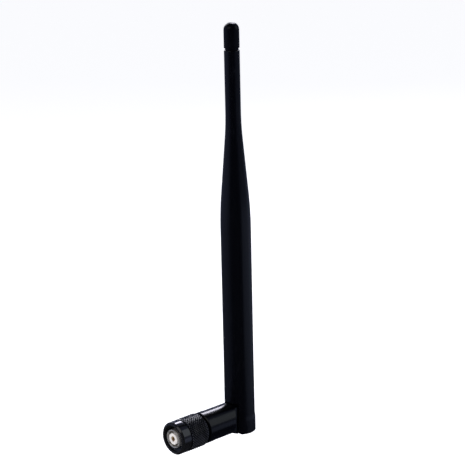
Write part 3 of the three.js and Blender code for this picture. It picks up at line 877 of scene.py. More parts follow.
@dataclass
class CouplingNut:
    """The knurled nut: plain ring, groove, diamond knurl, and the thread inside.

    Args:
        finishes: the antenna's finishes.
        ring_radius, ring_length, groove_radius, groove_width: the plain ring at the mouth, in millimetres.
        mouth_chamfer, tail_chamfer: the ends' chamfers.
        edge: rounding of the other turned edges.
        columns, rows, depth, flat: the knurl's half-diamonds each way, its depth and the points' flats.
        margin: how far the points stay below the radius that the knurl is aimed at.
        crest, root, pitch, thread_start, thread_end: the inner thread.
        flare, flare_length: how much wider than the crest the mouth is, and how far in.
        ridge_foot, ridge_flat, seat: half the ridge's foot as a share of the pitch, half its flat, and how
            deep it is set in the wall.
        turn_steps: facets in one turn of the thread.
        cavity, neck, tail_wall, run_out: the retaining ring's room behind the thread.
        crease: the angle in degrees above which an edge stays sharp.
        near: how close to the valleys' radius a vertex of the knurl's grid lies.
    """

    finishes: Finishes
    ring_radius: float = 7.15
    ring_length: float = 4.1
    groove_radius: float = 6.85
    groove_width: float = 0.8
    mouth_chamfer: float = 0.7
    tail_chamfer: float = 0.6
    edge: float = 0.12
    columns: int = 76
    rows: int = 16
    depth: float = 0.27
    flat: float = 0.16
    margin: float = 0.025
    crest: float = 5.15
    root: float = 5.5
    pitch: float = 0.907
    thread_start: float = 0.6
    thread_end: float = 7.3
    flare: float = 0.5
    flare_length: float = 0.4
    ridge_foot: float = 0.4
    ridge_flat: float = 0.08
    seat: float = 0.1
    turn_steps: int = 48
    cavity: float = 5.75
    neck: float = 5.15
    tail_wall: float = 1.7
    run_out: float = 0.1
    crease: float = 30
    near: float = 0.01

    def build(self) -> bpy.types.Object:
        """Builds the nut and puts it on its body.

        Returns:
            The nut.
        """
        _, high = box_mm("coupling_nut")
        shape = self.blank(high.y, high.x)
        self.cut_knurl(shape, high.y, high.x)
        whole = joined([shape, self.thread()])
        seat = Seat("coupling_nut", "nut", "nut")
        return seat_piece(whole, "knurled_nut", self.finishes.nut, seat, self.crease)

    def band(self, length: float) -> tuple[float, float]:
        """Returns where the knurl starts and ends."""
        return self.ring_length + self.groove_width, length - self.tail_chamfer

    def blank(self, length: float, radius: float) -> Solid:
        """Turns the nut before it is knurled.

        Args:
            length: the nut's length.
            radius: its radius over the knurl.

        Returns:
            The blank, with its plain edges rounded.
        """
        valley = radius - self.depth
        start, end = self.band(length)
        pitch = (end - start) / self.rows
        outline = [
            (0, self.crest + self.flare),
            (0, self.ring_radius - self.mouth_chamfer),
            (self.mouth_chamfer, self.ring_radius),
            (self.ring_length, self.ring_radius),
            (self.ring_length, self.groove_radius),
            (start, self.groove_radius),
        ]
        outline += [(start + pitch * row, valley) for row in range(self.rows + 1)]
        outline += [
            (length, valley - self.tail_chamfer),
            (length, self.neck),
            (length - self.tail_wall, self.neck),
            (length - self.tail_wall, self.cavity),
            (self.thread_end + self.run_out, self.cavity),
            (self.thread_end + self.run_out, self.root),
            (self.flare_length, self.root),
        ]
        shape = turned(outline, plug_spindle(), steps=self.columns)
        soften(shape, self.edge)
        return shape

    def cut_knurl(self, shape: Solid, length: float, radius: float) -> None:
        """Raises the diamonds: every other crossing of the grid becomes a point with a small flat.

        Args:
            shape: the blank, changed in place.
            length: the nut's length.
            radius: its radius over the knurl.
        """
        valley = radius - self.depth
        start, end = self.band(length)
        pitch = (end - start) / self.rows
        high, low = [], []
        for vert in shape.verts:
            row = (vert.co.y - start) / pitch
            on_grid = abs(math.hypot(vert.co.x, vert.co.z) - valley) < self.near
            if not on_grid or row < 0.5 or row > self.rows - 0.5:
                continue
            column = round(math.atan2(vert.co.x, vert.co.z) / (2 * math.pi / self.columns))
            (high if (round(row) + column) % 2 == 0 else low).append(vert)
        bmesh.ops.connect_verts(shape, verts=low)
        pitch_round = 2 * math.pi * valley / self.columns
        lost = self.flat / math.hypot(pitch_round, self.depth)
        grow = (valley + (self.depth - self.margin) / (1 - lost)) / valley
        bmesh.ops.scale(shape, vec=(grow, 1, grow), verts=high)
        bevel(shape, high, self.flat, 1, Bevelled.CORNERS)

    def thread(self) -> Solid:
        """Winds the thread's ridge.

        Returns:
            One closed ridge, seated in the bore's wall.
        """
        shape = bmesh.new()
        half = self.pitch * self.ridge_foot
        first = self.thread_start + half
        section = [
            (first - half, self.root + self.seat),
            (first - self.ridge_flat, self.crest),
            (first + self.ridge_flat, self.crest),
            (first + half, self.root + self.seat),
        ]
        spindle = plug_spindle()
        points = [shape.verts.new(spindle.place(along, radius)) for along, radius in section]
        face = shape.faces.new(points)
        turns = (self.thread_end - self.thread_start - 2 * half) / self.pitch
        steps = int(turns * self.turn_steps)
        bmesh.ops.spin(
            shape, geom=[face], cent=(0, 0, 0), axis=(0, 1, 0), dvec=(0, turns * self.pitch / steps, 0),
            angle=2 * math.pi * turns, steps=steps, use_merge=False,
        )
        bmesh.ops.recalc_face_normals(shape, faces=shape.faces[:])
        return shape


# ------------------------------------------------------------------ plug


@dataclass
class SpringSleeve:
    """The slotted outer contact, with a rounded lead-in and a contact bead.

    Args:
        finishes: the antenna's finishes.
        wall: its wall, in millimetres.
        inner_lead, outer_lead, lead_length: the mouth's roundings inside and outside.
        bead_end, waist_start, waist_depth: the bead, and the thinner length behind it.
        waist_past, waist_end: where the thinner length ends, past the slots.
        slot_width, slot_length, slots: the spring slots.
        first_slot: the first slot's angle in degrees.
        edge: rounding of the edges.
    """

    finishes: Finishes
    wall: float = 0.6
    inner_lead: float = 0.16
    outer_lead: float = 0.2
    lead_length: float = 0.24
    bead_end: float = 1.1
    waist_start: float = 1.7
    waist_depth: float = 0.12
    waist_past: float = 0.8
    waist_end: float = 1.2
    slot_width: float = 0.5
    slot_length: float = 5.0
    slots: int = 4
    first_slot: float = 45
    edge: float = 0.09

    def build(self) -> bpy.types.Object:
        """Builds the sleeve and puts it on its body.

        Returns:
            The sleeve.
        """
        low, high = box_mm("outer_contact")
        radius, inner = high.x, high.x - self.wall
        waist = radius - self.waist_depth
        shape = turned([
            (low.y + self.inner_lead, inner),
            (low.y, inner + self.inner_lead),
            (low.y, radius - self.outer_lead),
            (low.y + self.lead_length, radius),
            (low.y + self.bead_end, radius),
            (low.y + self.waist_start, waist),
            (low.y + self.slot_length + self.waist_past, waist),
            (low.y + self.slot_length + self.waist_end, radius),
            (high.y, radius),
            (high.y, inner),
        ], plug_spindle())
        soften(shape, self.edge)
        for number in range(self.slots):
            shape = combine(shape, self.slot(low.y, number), Operation.CUT)
        seat = Seat("outer_contact", "connector", "contact_silver")
        return seat_piece(shape, "spring_sleeve", self.finishes.silver, seat)

    def slot(self, mouth: float, number: int) -> Solid:
        """Makes the cutter of one spring slot.

        Args:
            mouth: where the sleeve starts.
            number: which slot.

        Returns:
            The cutter.
        """
        half = self.slot_width / 2
        shape = block((-half, -FAR, 0), (half, mouth + self.slot_length, FAR), 0)
        turn = Matrix.Rotation(math.radians(self.first_slot + 360 * number / self.slots), 3, "Y")
        bmesh.ops.rotate(shape, cent=(0, 0, 0), matrix=turn, verts=shape.verts[:])
        return shape


@dataclass
class ContactCore:
    """The white dielectric and the socket contact in its middle.

    Args:
        finishes: the antenna's finishes.
        nose_radius, nose_length, nose_chamfer: the dielectric's nose, in millimetres.
        fit: gap round the contact.
        bore_lead, bore_flare: the chamfer where the contact enters.
        nose_edge: rounding of the dielectric's edges.
        socket_radius, socket_bore, socket_depth: the contact, and the hole in its mouth.
        socket_chamfer, sink_length, sink_width: the mouth's chamfer and its countersink.
        cup_radius, cup_depth: the hole in its tail, where the cable's wire is soldered.
        socket_edge: rounding of the contact's edges.
    """

    finishes: Finishes
    nose_radius: float = 2.5
    nose_length: float = 6.0
    nose_chamfer: float = 0.12
    fit: float = 0.06
    bore_lead: float = 0.1
    bore_flare: float = 0.12
    nose_edge: float = 0.07
    socket_radius: float = 1.1
    socket_bore: float = 0.65
    socket_depth: float = 5.0
    socket_chamfer: float = 0.12
    sink_length: float = 0.3
    sink_width: float = 0.22
    cup_radius: float = 0.3
    cup_depth: float = 1.6
    socket_edge: float = 0.04

    def build(self) -> None:
        """Builds both pieces."""
        self.dielectric()
        self.socket()

    def dielectric(self) -> bpy.types.Object:
        """Builds the white dielectric, with a softly chamfered nose.

        Returns:
            The dielectric.
        """
        low, high = box_mm("insulator")
        bore = self.socket_radius + self.fit
        shape = turned([
            (low.y + self.bore_lead, bore),
            (low.y, bore + self.bore_flare),
            (low.y, self.nose_radius - self.nose_chamfer),
            (low.y + self.nose_chamfer, self.nose_radius),
            (self.nose_length, self.nose_radius),
            (self.nose_length, high.x),
            (high.y, high.x),
            (high.y, bore),
        ], plug_spindle())
        soften(shape, self.nose_edge, segments=2)
        return seat_piece(shape, "dielectric", self.finishes.ptfe, Seat("insulator", "connector", "ptfe"))

    def socket(self) -> bpy.types.Object:
        """Builds the socket contact, with a countersunk mouth.

        Returns:
            The contact.
        """
        low, high = box_mm("centre_contact")
        bottom = low.y + self.socket_depth
        shape = turned([
            (bottom, 0),
            (bottom - self.sink_length, self.socket_bore),
            (low.y + self.sink_length, self.socket_bore),
            (low.y, self.socket_bore + self.sink_width),
            (low.y, self.socket_radius - self.socket_chamfer),
            (low.y + self.socket_chamfer, self.socket_radius),
            (high.y, self.socket_radius),
            (high.y, self.cup_radius),
            (high.y - self.cup_depth, self.cup_radius),
            (high.y - self.cup_depth, 0),
        ], plug_spindle(), closed=False, steps=SMALL_STEPS)
        soften(shape, self.socket_edge, segments=2)
        seat = Seat("centre_contact", "connector", "gold")
        return seat_piece(shape, "socket_contact", self.finishes.gold, seat)


@dataclass
class PlugBody:
    """The turned body that carries the contacts, the nut and the swivel.

    Args:
        finishes: the antenna's finishes.
        flange, flange_length: the flange that the nut pulls on, in millimetres.
        waist, waist_end, collar, collar_end: the nut's seat and the collar behind it.
        stem, stem_end: the stem that the base swivels on.
        ring_groove, ring_bottom: the rubber ring's groove, from and to, and its bottom's radius.
        clip_groove, clip_bottom: the swivel clip's groove.
        tail, cable_bore, cable_bore_end: the tail that the braid is crimped on, and its bore.
        solder_bore: the room where the wire is soldered.
        core_bore, core_seat: the dielectric's bore, and where its back rests.
        sleeve_bore, sleeve_seat: the outer contact's bore, and where it ends.
        edge: rounding of the edges.
    """

    finishes: Finishes
    flange: float = 5.35
    flange_length: float = 1.9
    waist: float = 4.6
    waist_end: float = 13.33
    collar: float = 5.0
    collar_end: float = 16.6
    stem: float = 4.3
    stem_end: float = 23.5
    ring_groove: Span = (18.12, 19.08)
    ring_bottom: float = 3.49
    clip_groove: Span = (20.87, 21.63)
    clip_bottom: float = 3.6
    tail: float = 1.6
    cable_bore: float = 1.05
    cable_bore_end: float = 17.6
    solder_bore: float = 1.4
    core_bore: float = 3.5
    core_seat: float = 15.18
    sleeve_bore: float = 4.18
    sleeve_seat: float = 12.4
    edge: float = 0.05

    def groove(self, span: Span, bottom: float) -> Outline:
        """Returns the outline of a groove in the stem."""
        start, end = span
        return [(start, self.stem), (start, bottom), (end, bottom), (end, self.stem)]

    def build(self) -> bpy.types.Object:
        """Builds the body and puts it on its body of the frame.

        Returns:
            The plug's body.
        """
        low, high = box_mm("connector_body")
        flange_end = low.y + self.flange_length
        outside = [
            (low.y, self.sleeve_bore), (low.y, self.flange), (flange_end, self.flange),
            (flange_end, self.waist), (self.waist_end, self.waist), (self.waist_end, self.collar),
            (self.collar_end, self.collar), (self.collar_end, self.stem),
            *self.groove(self.ring_groove, self.ring_bottom),
            *self.groove(self.clip_groove, self.clip_bottom),
            (self.stem_end, self.stem), (self.stem_end, self.tail), (high.y, self.tail),
        ]
        inside = [
            (high.y, self.cable_bore), (self.cable_bore_end, self.cable_bore),
            (self.cable_bore_end, self.solder_bore), (self.core_seat, self.solder_bore),
            (self.core_seat, self.core_bore), (self.sleeve_seat, self.core_bore),
            (self.sleeve_seat, self.sleeve_bore),
        ]
        shape = turned(outside + inside, plug_spindle(), steps=MIDDLE_STEPS)
        soften(shape, self.edge, segments=2)
        seat = Seat("connector_body", "connector", "nickel")
        return seat_piece(shape, "plug_body", self.finishes.nickel, seat)


# ------------------------------------------------------------------ swivel base


@dataclass
class HingeSizes:
    """Sizes that the two halves of the tilt hinge share, in millimetres from the pin.

    Args:
        pin_y: the pin's station along the plug's axis.
        shoulder: reach of the base's rounded shoulder.
        knuckle: half the knuckle's width.
        nose_bottom, nose_radius: the knuckle's nose, which is round like the tube above it.
        channel: half the width of the cable's channel.
        cable_bend: radius of the cable's bend at rest.
        slot: half the gap between the fork's ears.
        slot_top: reach of the gap above the pin.
        ear_bottom: reach of the ears below it.
        back_wall: reach of the gap behind it, to the tube's back wall.
        back_notch: how far below the pin the back wall ends, and how far in front the nose does.
        pin_radius: the pin's radius.
        rest: gap between faces that pass each other.
    """

    pin_y: float
    shoulder: float = 8.5
    knuckle: float = 3.9
    nose_bottom: float = 6.85
    nose_radius: float = 6.5
    channel: float = 1.5
    cable_bend: float = 4.6
    slot: float = 4.5
    slot_top: float = 7.1
    ear_bottom: float = 7.1
    back_wall: float = 4.0
    back_notch: float = 2.2
    pin_radius: float = 1.2
    rest: float = 0.3


@dataclass
class SwivelBase:
    """The moulded base that swivels on the plug and carries the hinge's knuckle.

    Args:
        finishes: the antenna's finishes.
        hinge: the hinge's sizes.
        collar, collar_length, radius: the collar at its front and the barrel behind it, in millimetres.
        edge: the collar's chamfers.
        mouth_bore, mouth_end: the wide bore round the plug's collar.
        stem_bore, stem_end: the bore round its stem.
        clip_room, clip_bore: the swivel clip's groove, from and to, and its radius.
        cable_bore, cable_end: the bore behind the stem.
        channel_front: how far the cable's channel reaches in front of the shoulder.
        pin_fit: gap round the pin.
    """

    finishes: Finishes
    hinge: HingeSizes
    collar: float = 6.9
    collar_length: float = 3.6
    radius: float = 6.78
    edge: float = 0.3
    mouth_bore: float = 5.15
    mouth_end: float = 16.9
    stem_bore: float = 4.45
    stem_end: float = 23.8
    clip_room: Span = (20.8, 21.7)
    clip_bore: float = 5.1
    cable_bore: float = 3.2
    cable_end: float = 30.2
    channel_front: float = 0.6
    pin_fit: float = 0.06

    def build(self) -> bpy.types.Object:
        """Builds the base and puts it on its body.

        Returns:
            The base.
        """
        hinge = self.hinge
        shape = self.barrel()
        shape = combine(shape, self.shoulder_cutter(), Operation.CUT)
        shape = combine(shape, self.nose(), Operation.JOIN)
        for tool in self.relief_cutters():
            shape = combine(shape, tool, Operation.CUT)
        half, bend = hinge.channel, hinge.cable_bend
        front = -hinge.shoulder - self.channel_front
        through = block((-half, front, -half), (half, FAR, half), hinge.pin_y)
        over = block((-half, -bend, 0), (half, FAR, FAR), hinge.pin_y)
        bore = rod(-FAR, FAR, hinge.pin_radius + self.pin_fit, pin_spindle(hinge.pin_y), BORE_STEPS)
        for tool in (through, over, bore):
            shape = combine(shape, tool, Operation.CUT)
        mould_edges(shape)
        return seat_piece(shape, "swivel_base", self.finishes.shell, Seat("base_housing", "base", "shell"))

    def barrel(self) -> Solid:
        """Turns the barrel with its bores.

        Returns:
            The barrel.
        """
        low, _ = box_mm("base_housing")
        front, back = low.y, self.hinge.pin_y + self.hinge.back_wall
        collar_end = front + self.collar_length
        clip_start, clip_end = self.clip_room
        outside = [
            (front, self.mouth_bore), (front, self.collar - self.edge), (front + self.edge, self.collar),
            (collar_end, self.collar), (collar_end + self.edge, self.radius), (back, self.radius), (back, 0),
        ]
        inside = [
            (self.cable_end, 0), (self.cable_end, self.cable_bore), (self.stem_end, self.cable_bore),
            (self.stem_end, self.stem_bore), (clip_end, self.stem_bore), (clip_end, self.clip_bore),
            (clip_start, self.clip_bore), (clip_start, self.stem_bore), (self.mouth_end, self.stem_bore),
            (self.mouth_end, self.mouth_bore),
        ]
        return turned(outside + inside, plug_spindle())

    def shoulder_cutter(self) -> Solid:
        """Makes what the shoulder leaves free beside the knuckle.

        Returns:
            The cutter.
        """
        hinge = self.hinge
        sweep = rod(-FAR, FAR, hinge.shoulder, pin_spindle(hinge.pin_y))
        below = block((-FAR, -hinge.shoulder, -FAR), (FAR, FAR, 0), hinge.pin_y)
        behind = block((-FAR, 0, -OVERLAP), (FAR, FAR, FAR), hinge.pin_y)
        wide = FAR + OVERLAP
        middle = block((-hinge.knuckle, -wide, -wide), (hinge.knuckle, wide, wide), hinge.pin_y)
        cutter = combine(sweep, below, Operation.JOIN)
        cutter = combine(cutter, behind, Operation.JOIN)
        return combine(cutter, middle, Operation.CUT)

    def nose(self) -> Solid:
        """Makes the knuckle's nose, flush with the fork in front of the pin.

        Returns:
            The nose.
        """
        hinge = self.hinge
        spindle = radome_spindle(hinge.pin_y)
        rounded = rod(-hinge.nose_bottom, 0, hinge.nose_radius, spindle)
        end = -hinge.back_notch - hinge.rest
        front = block((-hinge.knuckle, -FAR, -FAR), (hinge.knuckle, end, FAR), hinge.pin_y)
        return combine(rounded, front, Operation.KEEP)

    def relief_cutters(self) -> list[Solid]:
        """Makes what the knuckle loses so that the fork turns round it.

        Returns:
            The cutters.
        """
        hinge = self.hinge
        inner, pin_y = hinge.back_wall - hinge.rest, hinge.pin_y
        wide = FAR + OVERLAP
        top = block((-FAR, 0, 0), (FAR, FAR, FAR), pin_y)
        top = combine(top, rod(-wide, wide, hinge.slot_top - hinge.rest, pin_spindle(pin_y)), Operation.CUT)
        low = block((-FAR, 0, -FAR), (FAR, FAR, 0), pin_y)
        low = combine(low, rod(-wide, wide, inner, pin_spindle(pin_y)), Operation.CUT)
        under = block((-FAR, -hinge.back_notch - hinge.rest, -FAR), (FAR, inner / 2, -inner), pin_y)
        behind = block((-FAR, inner, -FAR), (FAR, FAR, FAR), pin_y)
        return [top, low, under, behind]


@dataclass
class HingeCable:
    """The length of cable through the hinge, bent at rest.

    Args:
        finishes: the antenna's finishes.
        hinge: the hinge's sizes.
        radius: the cable's radius in millimetres.
        reach: from the pin to each end.
        facets, turn_steps, straight_steps: facets round it, along its bend and along each straight.
    """

    finishes: Finishes
    hinge: HingeSizes
    radius: float = 0.9
    reach: float = 7.3
    facets: int = 24
    turn_steps: int = 20
    straight_steps: int = 4

    def build(self) -> bpy.types.Object:
        """Builds the cable: straight, a quarter turn, and straight again.

        Returns:
            The cable.
        """
        shape = bmesh.new()
        pin_y, bend = self.hinge.pin_y, self.hinge.cable_bend
        upright = Matrix.Rotation(math.pi / 2, 3, "X")
        bmesh.ops.create_circle(shape, cap_ends=True, segments=self.facets, radius=self.radius)
        bmesh.ops.rotate(shape, cent=(0, 0, 0), matrix=upright, verts=shape.verts[:])
        bmesh.ops.translate(shape, vec=(0, pin_y - self.reach, 0), verts=shape.verts[:])
        step = (self.reach - bend) / self.straight_steps
        last = self.drawn(shape, shape.faces[:], (0, step, 0))
        turn = bmesh.ops.spin(
            shape, geom=last, cent=(0, pin_y - bend, bend), axis=(1, 0, 0), angle=math.pi / 2,
            steps=self.turn_steps,
        )
        self.drawn(shape, turn["geom_last"], (0, 0, step))
        bmesh.ops.recalc_face_normals(shape, faces=shape.faces[:])
        made = finish_mesh(shape, "hinge_cable", self.finishes.cable, CREASE)
        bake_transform(made)
        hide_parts("coax_hinge")
        LOG.info("hinge_cable: bends between base and radome")
        return made

    def drawn(self, shape: Solid, start: list[bmesh.types.BMFace], step: Triple) -> list[bmesh.types.BMFace]:
        """Draws the section out straight.

        Args:
            shape: the cable so far.
            start: the section to draw.
            step: one step.

        Returns:
            The section at the end.
        """
        made = bmesh.ops.spin(
            shape, geom=start, cent=(0, 0, 0), axis=(1, 0, 0), dvec=step, angle=0, steps=self.straight_steps,
        )
        return made["geom_last"]


# ------------------------------------------------------------------ radome


@dataclass
class Radome:
    """The long tube with its fork, taper and neck, and the cap in its end.

    Args:
        finishes: the antenna's finishes.
        hinge: the hinge's sizes.
        fork, foot, tube, neck: radii of the fork, the tube's foot, the tube and the neck, in millimetres.
        fork_end, foot_start, foot_end: heights above the pin where they start and end.
        ease, fork_ease, foot_ease: length of the curve from the fork to the foot, and its fall at each end.
        taper_start, taper_end: where the taper's line meets the tube's and the neck's.
        start_ease, end_ease: how far each side of those corners is rounded.
        ease_steps: facets in half a rounding.
        neck_top: where the neck ends.
        lip, lip_bevel: the rounding of the neck's end.
        neck_bore, neck_bore_start, tube_bore, tube_bore_end: the bores and the taper between them.
        socket_reach, pin_fit: the blind sockets' reach from the middle, and the gap round the pins.
        groove_depth: depth of the grooves that the pins are slid in along.
        gap, gap_radius: the groove between the neck and the cap.
        plug_radius, plug_fit: the cap's plug in the neck's bore, and the gap at its shoulder.
        cap_lead: the cap's lower chamfer.
        dome, dome_power, dome_steps: the dome's height, how square it is, and its facets.
        gate, gate_floor, gate_rim, gate_depth: the mould's gate mark, its radii and depths.
    """

    finishes: Finishes
    hinge: HingeSizes
    fork: float = 6.82
    foot: float = 6.58
    tube: float = 6.5
    neck: float = 3.28
    fork_end: float = -1.2
    foot_start: float = 0.8
    foot_end: float = 27
    ease: float = 0.5
    fork_ease: float = 0.02
    foot_ease: float = 0.04
    taper_start: float = 92.8
    taper_end: float = 130.2
    start_ease: float = 8.0
    end_ease: float = 6.0
    ease_steps: int = 6
    neck_top: float = 162.0
    lip: float = 0.45
    lip_bevel: float = 0.13
    neck_bore: float = 2.25
    neck_bore_start: float = 128
    tube_bore: float = 4.5
    tube_bore_end: float = 86
    socket_reach: float = 5.75
    pin_fit: float = 0.15
    groove_depth: float = 0.6
    gap: float = 0.8
    gap_radius: float = 2.8
    plug_radius: float = 2.17
    plug_fit: float = 0.08
    cap_lead: float = 0.15
    dome: float = 3.5
    dome_power: float = 2.6
    dome_steps: int = 18
    gate: float = 0.55
    gate_floor: float = 0.42
    gate_rim: float = 0.08
    gate_depth: float = 0.1

    def build(self) -> None:
        """Builds the radome and its cap."""
        self.shell()
        self.cap()

    def ramp(self, z: float, corner: float, reach: float) -> float:
        """Rises with slope 1 from a corner that is rounded.

        Args:
            z: height above the pin.
            corner: where the ramp starts.
            reach: how far each side of the corner is rounded.

        Returns:
            The ramp's height.
        """
        past = z - corner + reach
        if past <= 0:
            return 0.0
        return past * past / (4 * reach) if past < 2 * reach else z - corner

    def radius_at(self, z: float) -> float:
        """Finds the taper's outer radius.

        Args:
            z: height above the pin.

        Returns:
            The radius.
        """
        slope = (self.tube - self.neck) / (self.taper_end - self.taper_start)
        fall = self.ramp(z, self.taper_start, self.start_ease) - self.ramp(z, self.taper_end, self.end_ease)
        return self.tube - slope * fall

    def outline(self) -> Outline:
        """Draws the radome's outline.

        Returns:
            The outline, its bore included.
        """
        bottom, floor = -self.hinge.ear_bottom, self.hinge.slot_top - self.hinge.rest
        points = [
            (bottom, 0), (bottom, self.fork), (self.fork_end, self.fork),
            (self.fork_end + self.ease, self.fork - self.fork_ease),
            (self.foot_start - self.ease, self.foot + self.foot_ease),
            (self.foot_start, self.foot), (self.foot_end, self.tube),
        ]
        for corner, reach in ((self.taper_start, self.start_ease), (self.taper_end, self.end_ease)):
            for step in range(2 * self.ease_steps + 1):
                z = corner + reach * (step / self.ease_steps - 1)
                points.append((z, self.radius_at(z)))
        points += [
            (self.neck_top - self.lip, self.neck),
            (self.neck_top - self.lip_bevel, self.neck - self.lip_bevel),
            (self.neck_top, self.neck - self.lip), (self.neck_top, self.neck_bore),
            (self.neck_bore_start, self.neck_bore), (self.tube_bore_end, self.tube_bore),
            (floor, self.tube_bore), (floor, 0),
        ]
        return points

    def shell(self) -> bpy.types.Object:
        """Builds the tube and cuts its fork.

        Returns:
            The radome.
        """
        hinge = self.hinge
        pin_y, slot, wide = hinge.pin_y, hinge.slot, FAR + OVERLAP
        shape = turned(self.outline(), radome_spindle(pin_y), closed=False)
        tools = [
            block((-slot, -FAR, -FAR), (slot, hinge.back_wall, hinge.slot_top), pin_y),
            block((-slot, 0, -FAR), (slot, FAR, -hinge.back_notch), pin_y),
        ]
        corner = block((-FAR, -FAR, -FAR), (FAR, 0, 0), pin_y)
        swing = rod(-wide, wide, hinge.shoulder - hinge.rest, pin_spindle(pin_y))
        tools.append(combine(corner, swing, Operation.CUT))
        radius = hinge.pin_radius + self.pin_fit
        tools.append(rod(-self.socket_reach, self.socket_reach, radius, pin_spindle(pin_y), BORE_STEPS))
        groove = slot + self.groove_depth
        tools.append(block((-groove, -radius, -FAR), (groove, radius, 0), pin_y))
        for tool in tools:
            shape = combine(shape, tool, Operation.CUT)
        mould_edges(shape)
        return seat_piece(shape, "radome_shell", self.finishes.shell, Seat("radome", "radome", "shell"))

    def cap(self) -> bpy.types.Object:
        """Builds the domed cap, with the small dimple that its mould's gate leaves.

        Returns:
            The cap.
        """
        low, high = box_mm("tip_cap")
        shoulder, gap_end = self.neck_top + self.plug_fit, self.neck_top + self.gap
        outline = [
            (low.z, 0), (low.z, self.plug_radius), (shoulder, self.plug_radius), (shoulder, self.gap_radius),
            (gap_end, self.gap_radius), (gap_end, self.neck - self.cap_lead),
            (gap_end + self.cap_lead, self.neck),
        ]
        for step in range(self.dome_steps):
            share = math.sin(math.pi / 2 * step / self.dome_steps)
            width = (1 - share ** self.dome_power) ** (1 / self.dome_power)
            outline.append((high.z - self.dome + self.dome * share, self.neck * width))
        outline += [
            (high.z, self.gate), (high.z - self.gate_rim, self.gate_floor), (high.z - self.gate_depth, 0),
        ]
        shape = turned(outline, radome_spindle(self.hinge.pin_y), closed=False, steps=MIDDLE_STEPS)
        return seat_piece(shape, "tip_cap_shell", self.finishes.cap, Seat("tip_cap", "radome", "shell"))


# ------------------------------------------------------------------ carried-over pieces


@dataclass
class InnerParts:
    """The pieces inside, whose shapes come from the frame and which only need their finish.

    Args:
        finishes: the antenna's finishes.
        nodes: the frame's nodes by name.
    """

    finishes: Finishes
    nodes: dict[str, bpy.types.Object]

    def dress(self) -> None:
        """Gives every carried-over piece its finish."""
        f = self.finishes
        groups = {
            f.gasket: ["face_gasket"],
            f.steel: ["nut_retaining_ring", "swivel_clip", "hinge_pin_right", "hinge_pin_left",
                      "hinge_washer_right", "hinge_washer_left"],
            f.nickel: ["crimp_ferrule"],
            f.rubber: ["swivel_o_ring"],
            f.cable: ["coax_in_base", "coax_in_radome"],
            f.ptfe: ["cable_plug", "dipole_bush"],
            f.shrink: ["coax_shrink_tube"],
            f.brass: ["dipole_sleeve", "dipole_end_disc", "lower_radiator"],
            f.copper: ["coil_and_whip"],
            f.foam: ["rod_spacer_1", "rod_spacer_2", "whip_spacer_1", "whip_spacer_2"],
        }
        for material, names in groups.items():
            for name in names:
                mesh = self.nodes[name].data
                mesh.materials.clear()
                mesh.materials.append(material)
                LOG.info("%s: %s", name, material.name)


# ------------------------------------------------------------------ studio


@dataclass
class Lamp:
    """A softbox.

    Args:
        name: its name.
        towards: direction from the object to it.
        distance: metres from the object.
        size: its width and height in metres.
        radiance: how bright its face is.
        colour: its tint.
        mirrored: whether it shows in glossy surfaces.
    """

    name: str
    towards: Triple
    distance: float
    size: tuple[float, float]
    radiance: float
    colour: Triple = (1.0, 1.0, 1.0)
    mirrored: bool = True

    def build(self, aim: Vector) -> None:
        """Hangs the lamp so that it faces a point.

        Args:
            aim: the point, in metres.
        """
        light = bpy.data.lights.new(self.name, "AREA")
        light.shape = "RECTANGLE"
        light.size, light.size_y = self.size
        light.energy = self.radiance * math.pi * self.size[0] * self.size[1]
        light.color = self.colour
        lamp = bpy.data.objects.new(self.name, light)
        bpy.context.scene.collection.objects.link(lamp)
        back = Vector(self.towards).normalized()
        lamp.location = aim + back * self.distance
        lamp.rotation_mode = "QUATERNION"
        lamp.rotation_quaternion = back.to_track_quat("Z", "Y")
        lamp.visible_camera = False
        lamp.visible_glossy = self.mirrored


@dataclass(frozen=True)
class Glow:
    """A soft brightness on one side of the room.

    Args:
        towards: where its middle lies.
        start: how far a ray must point that way before it shows, from -1 to 1.
        level: its brightness in the middle.
    """

    towards: Triple
    start: float
    level: float


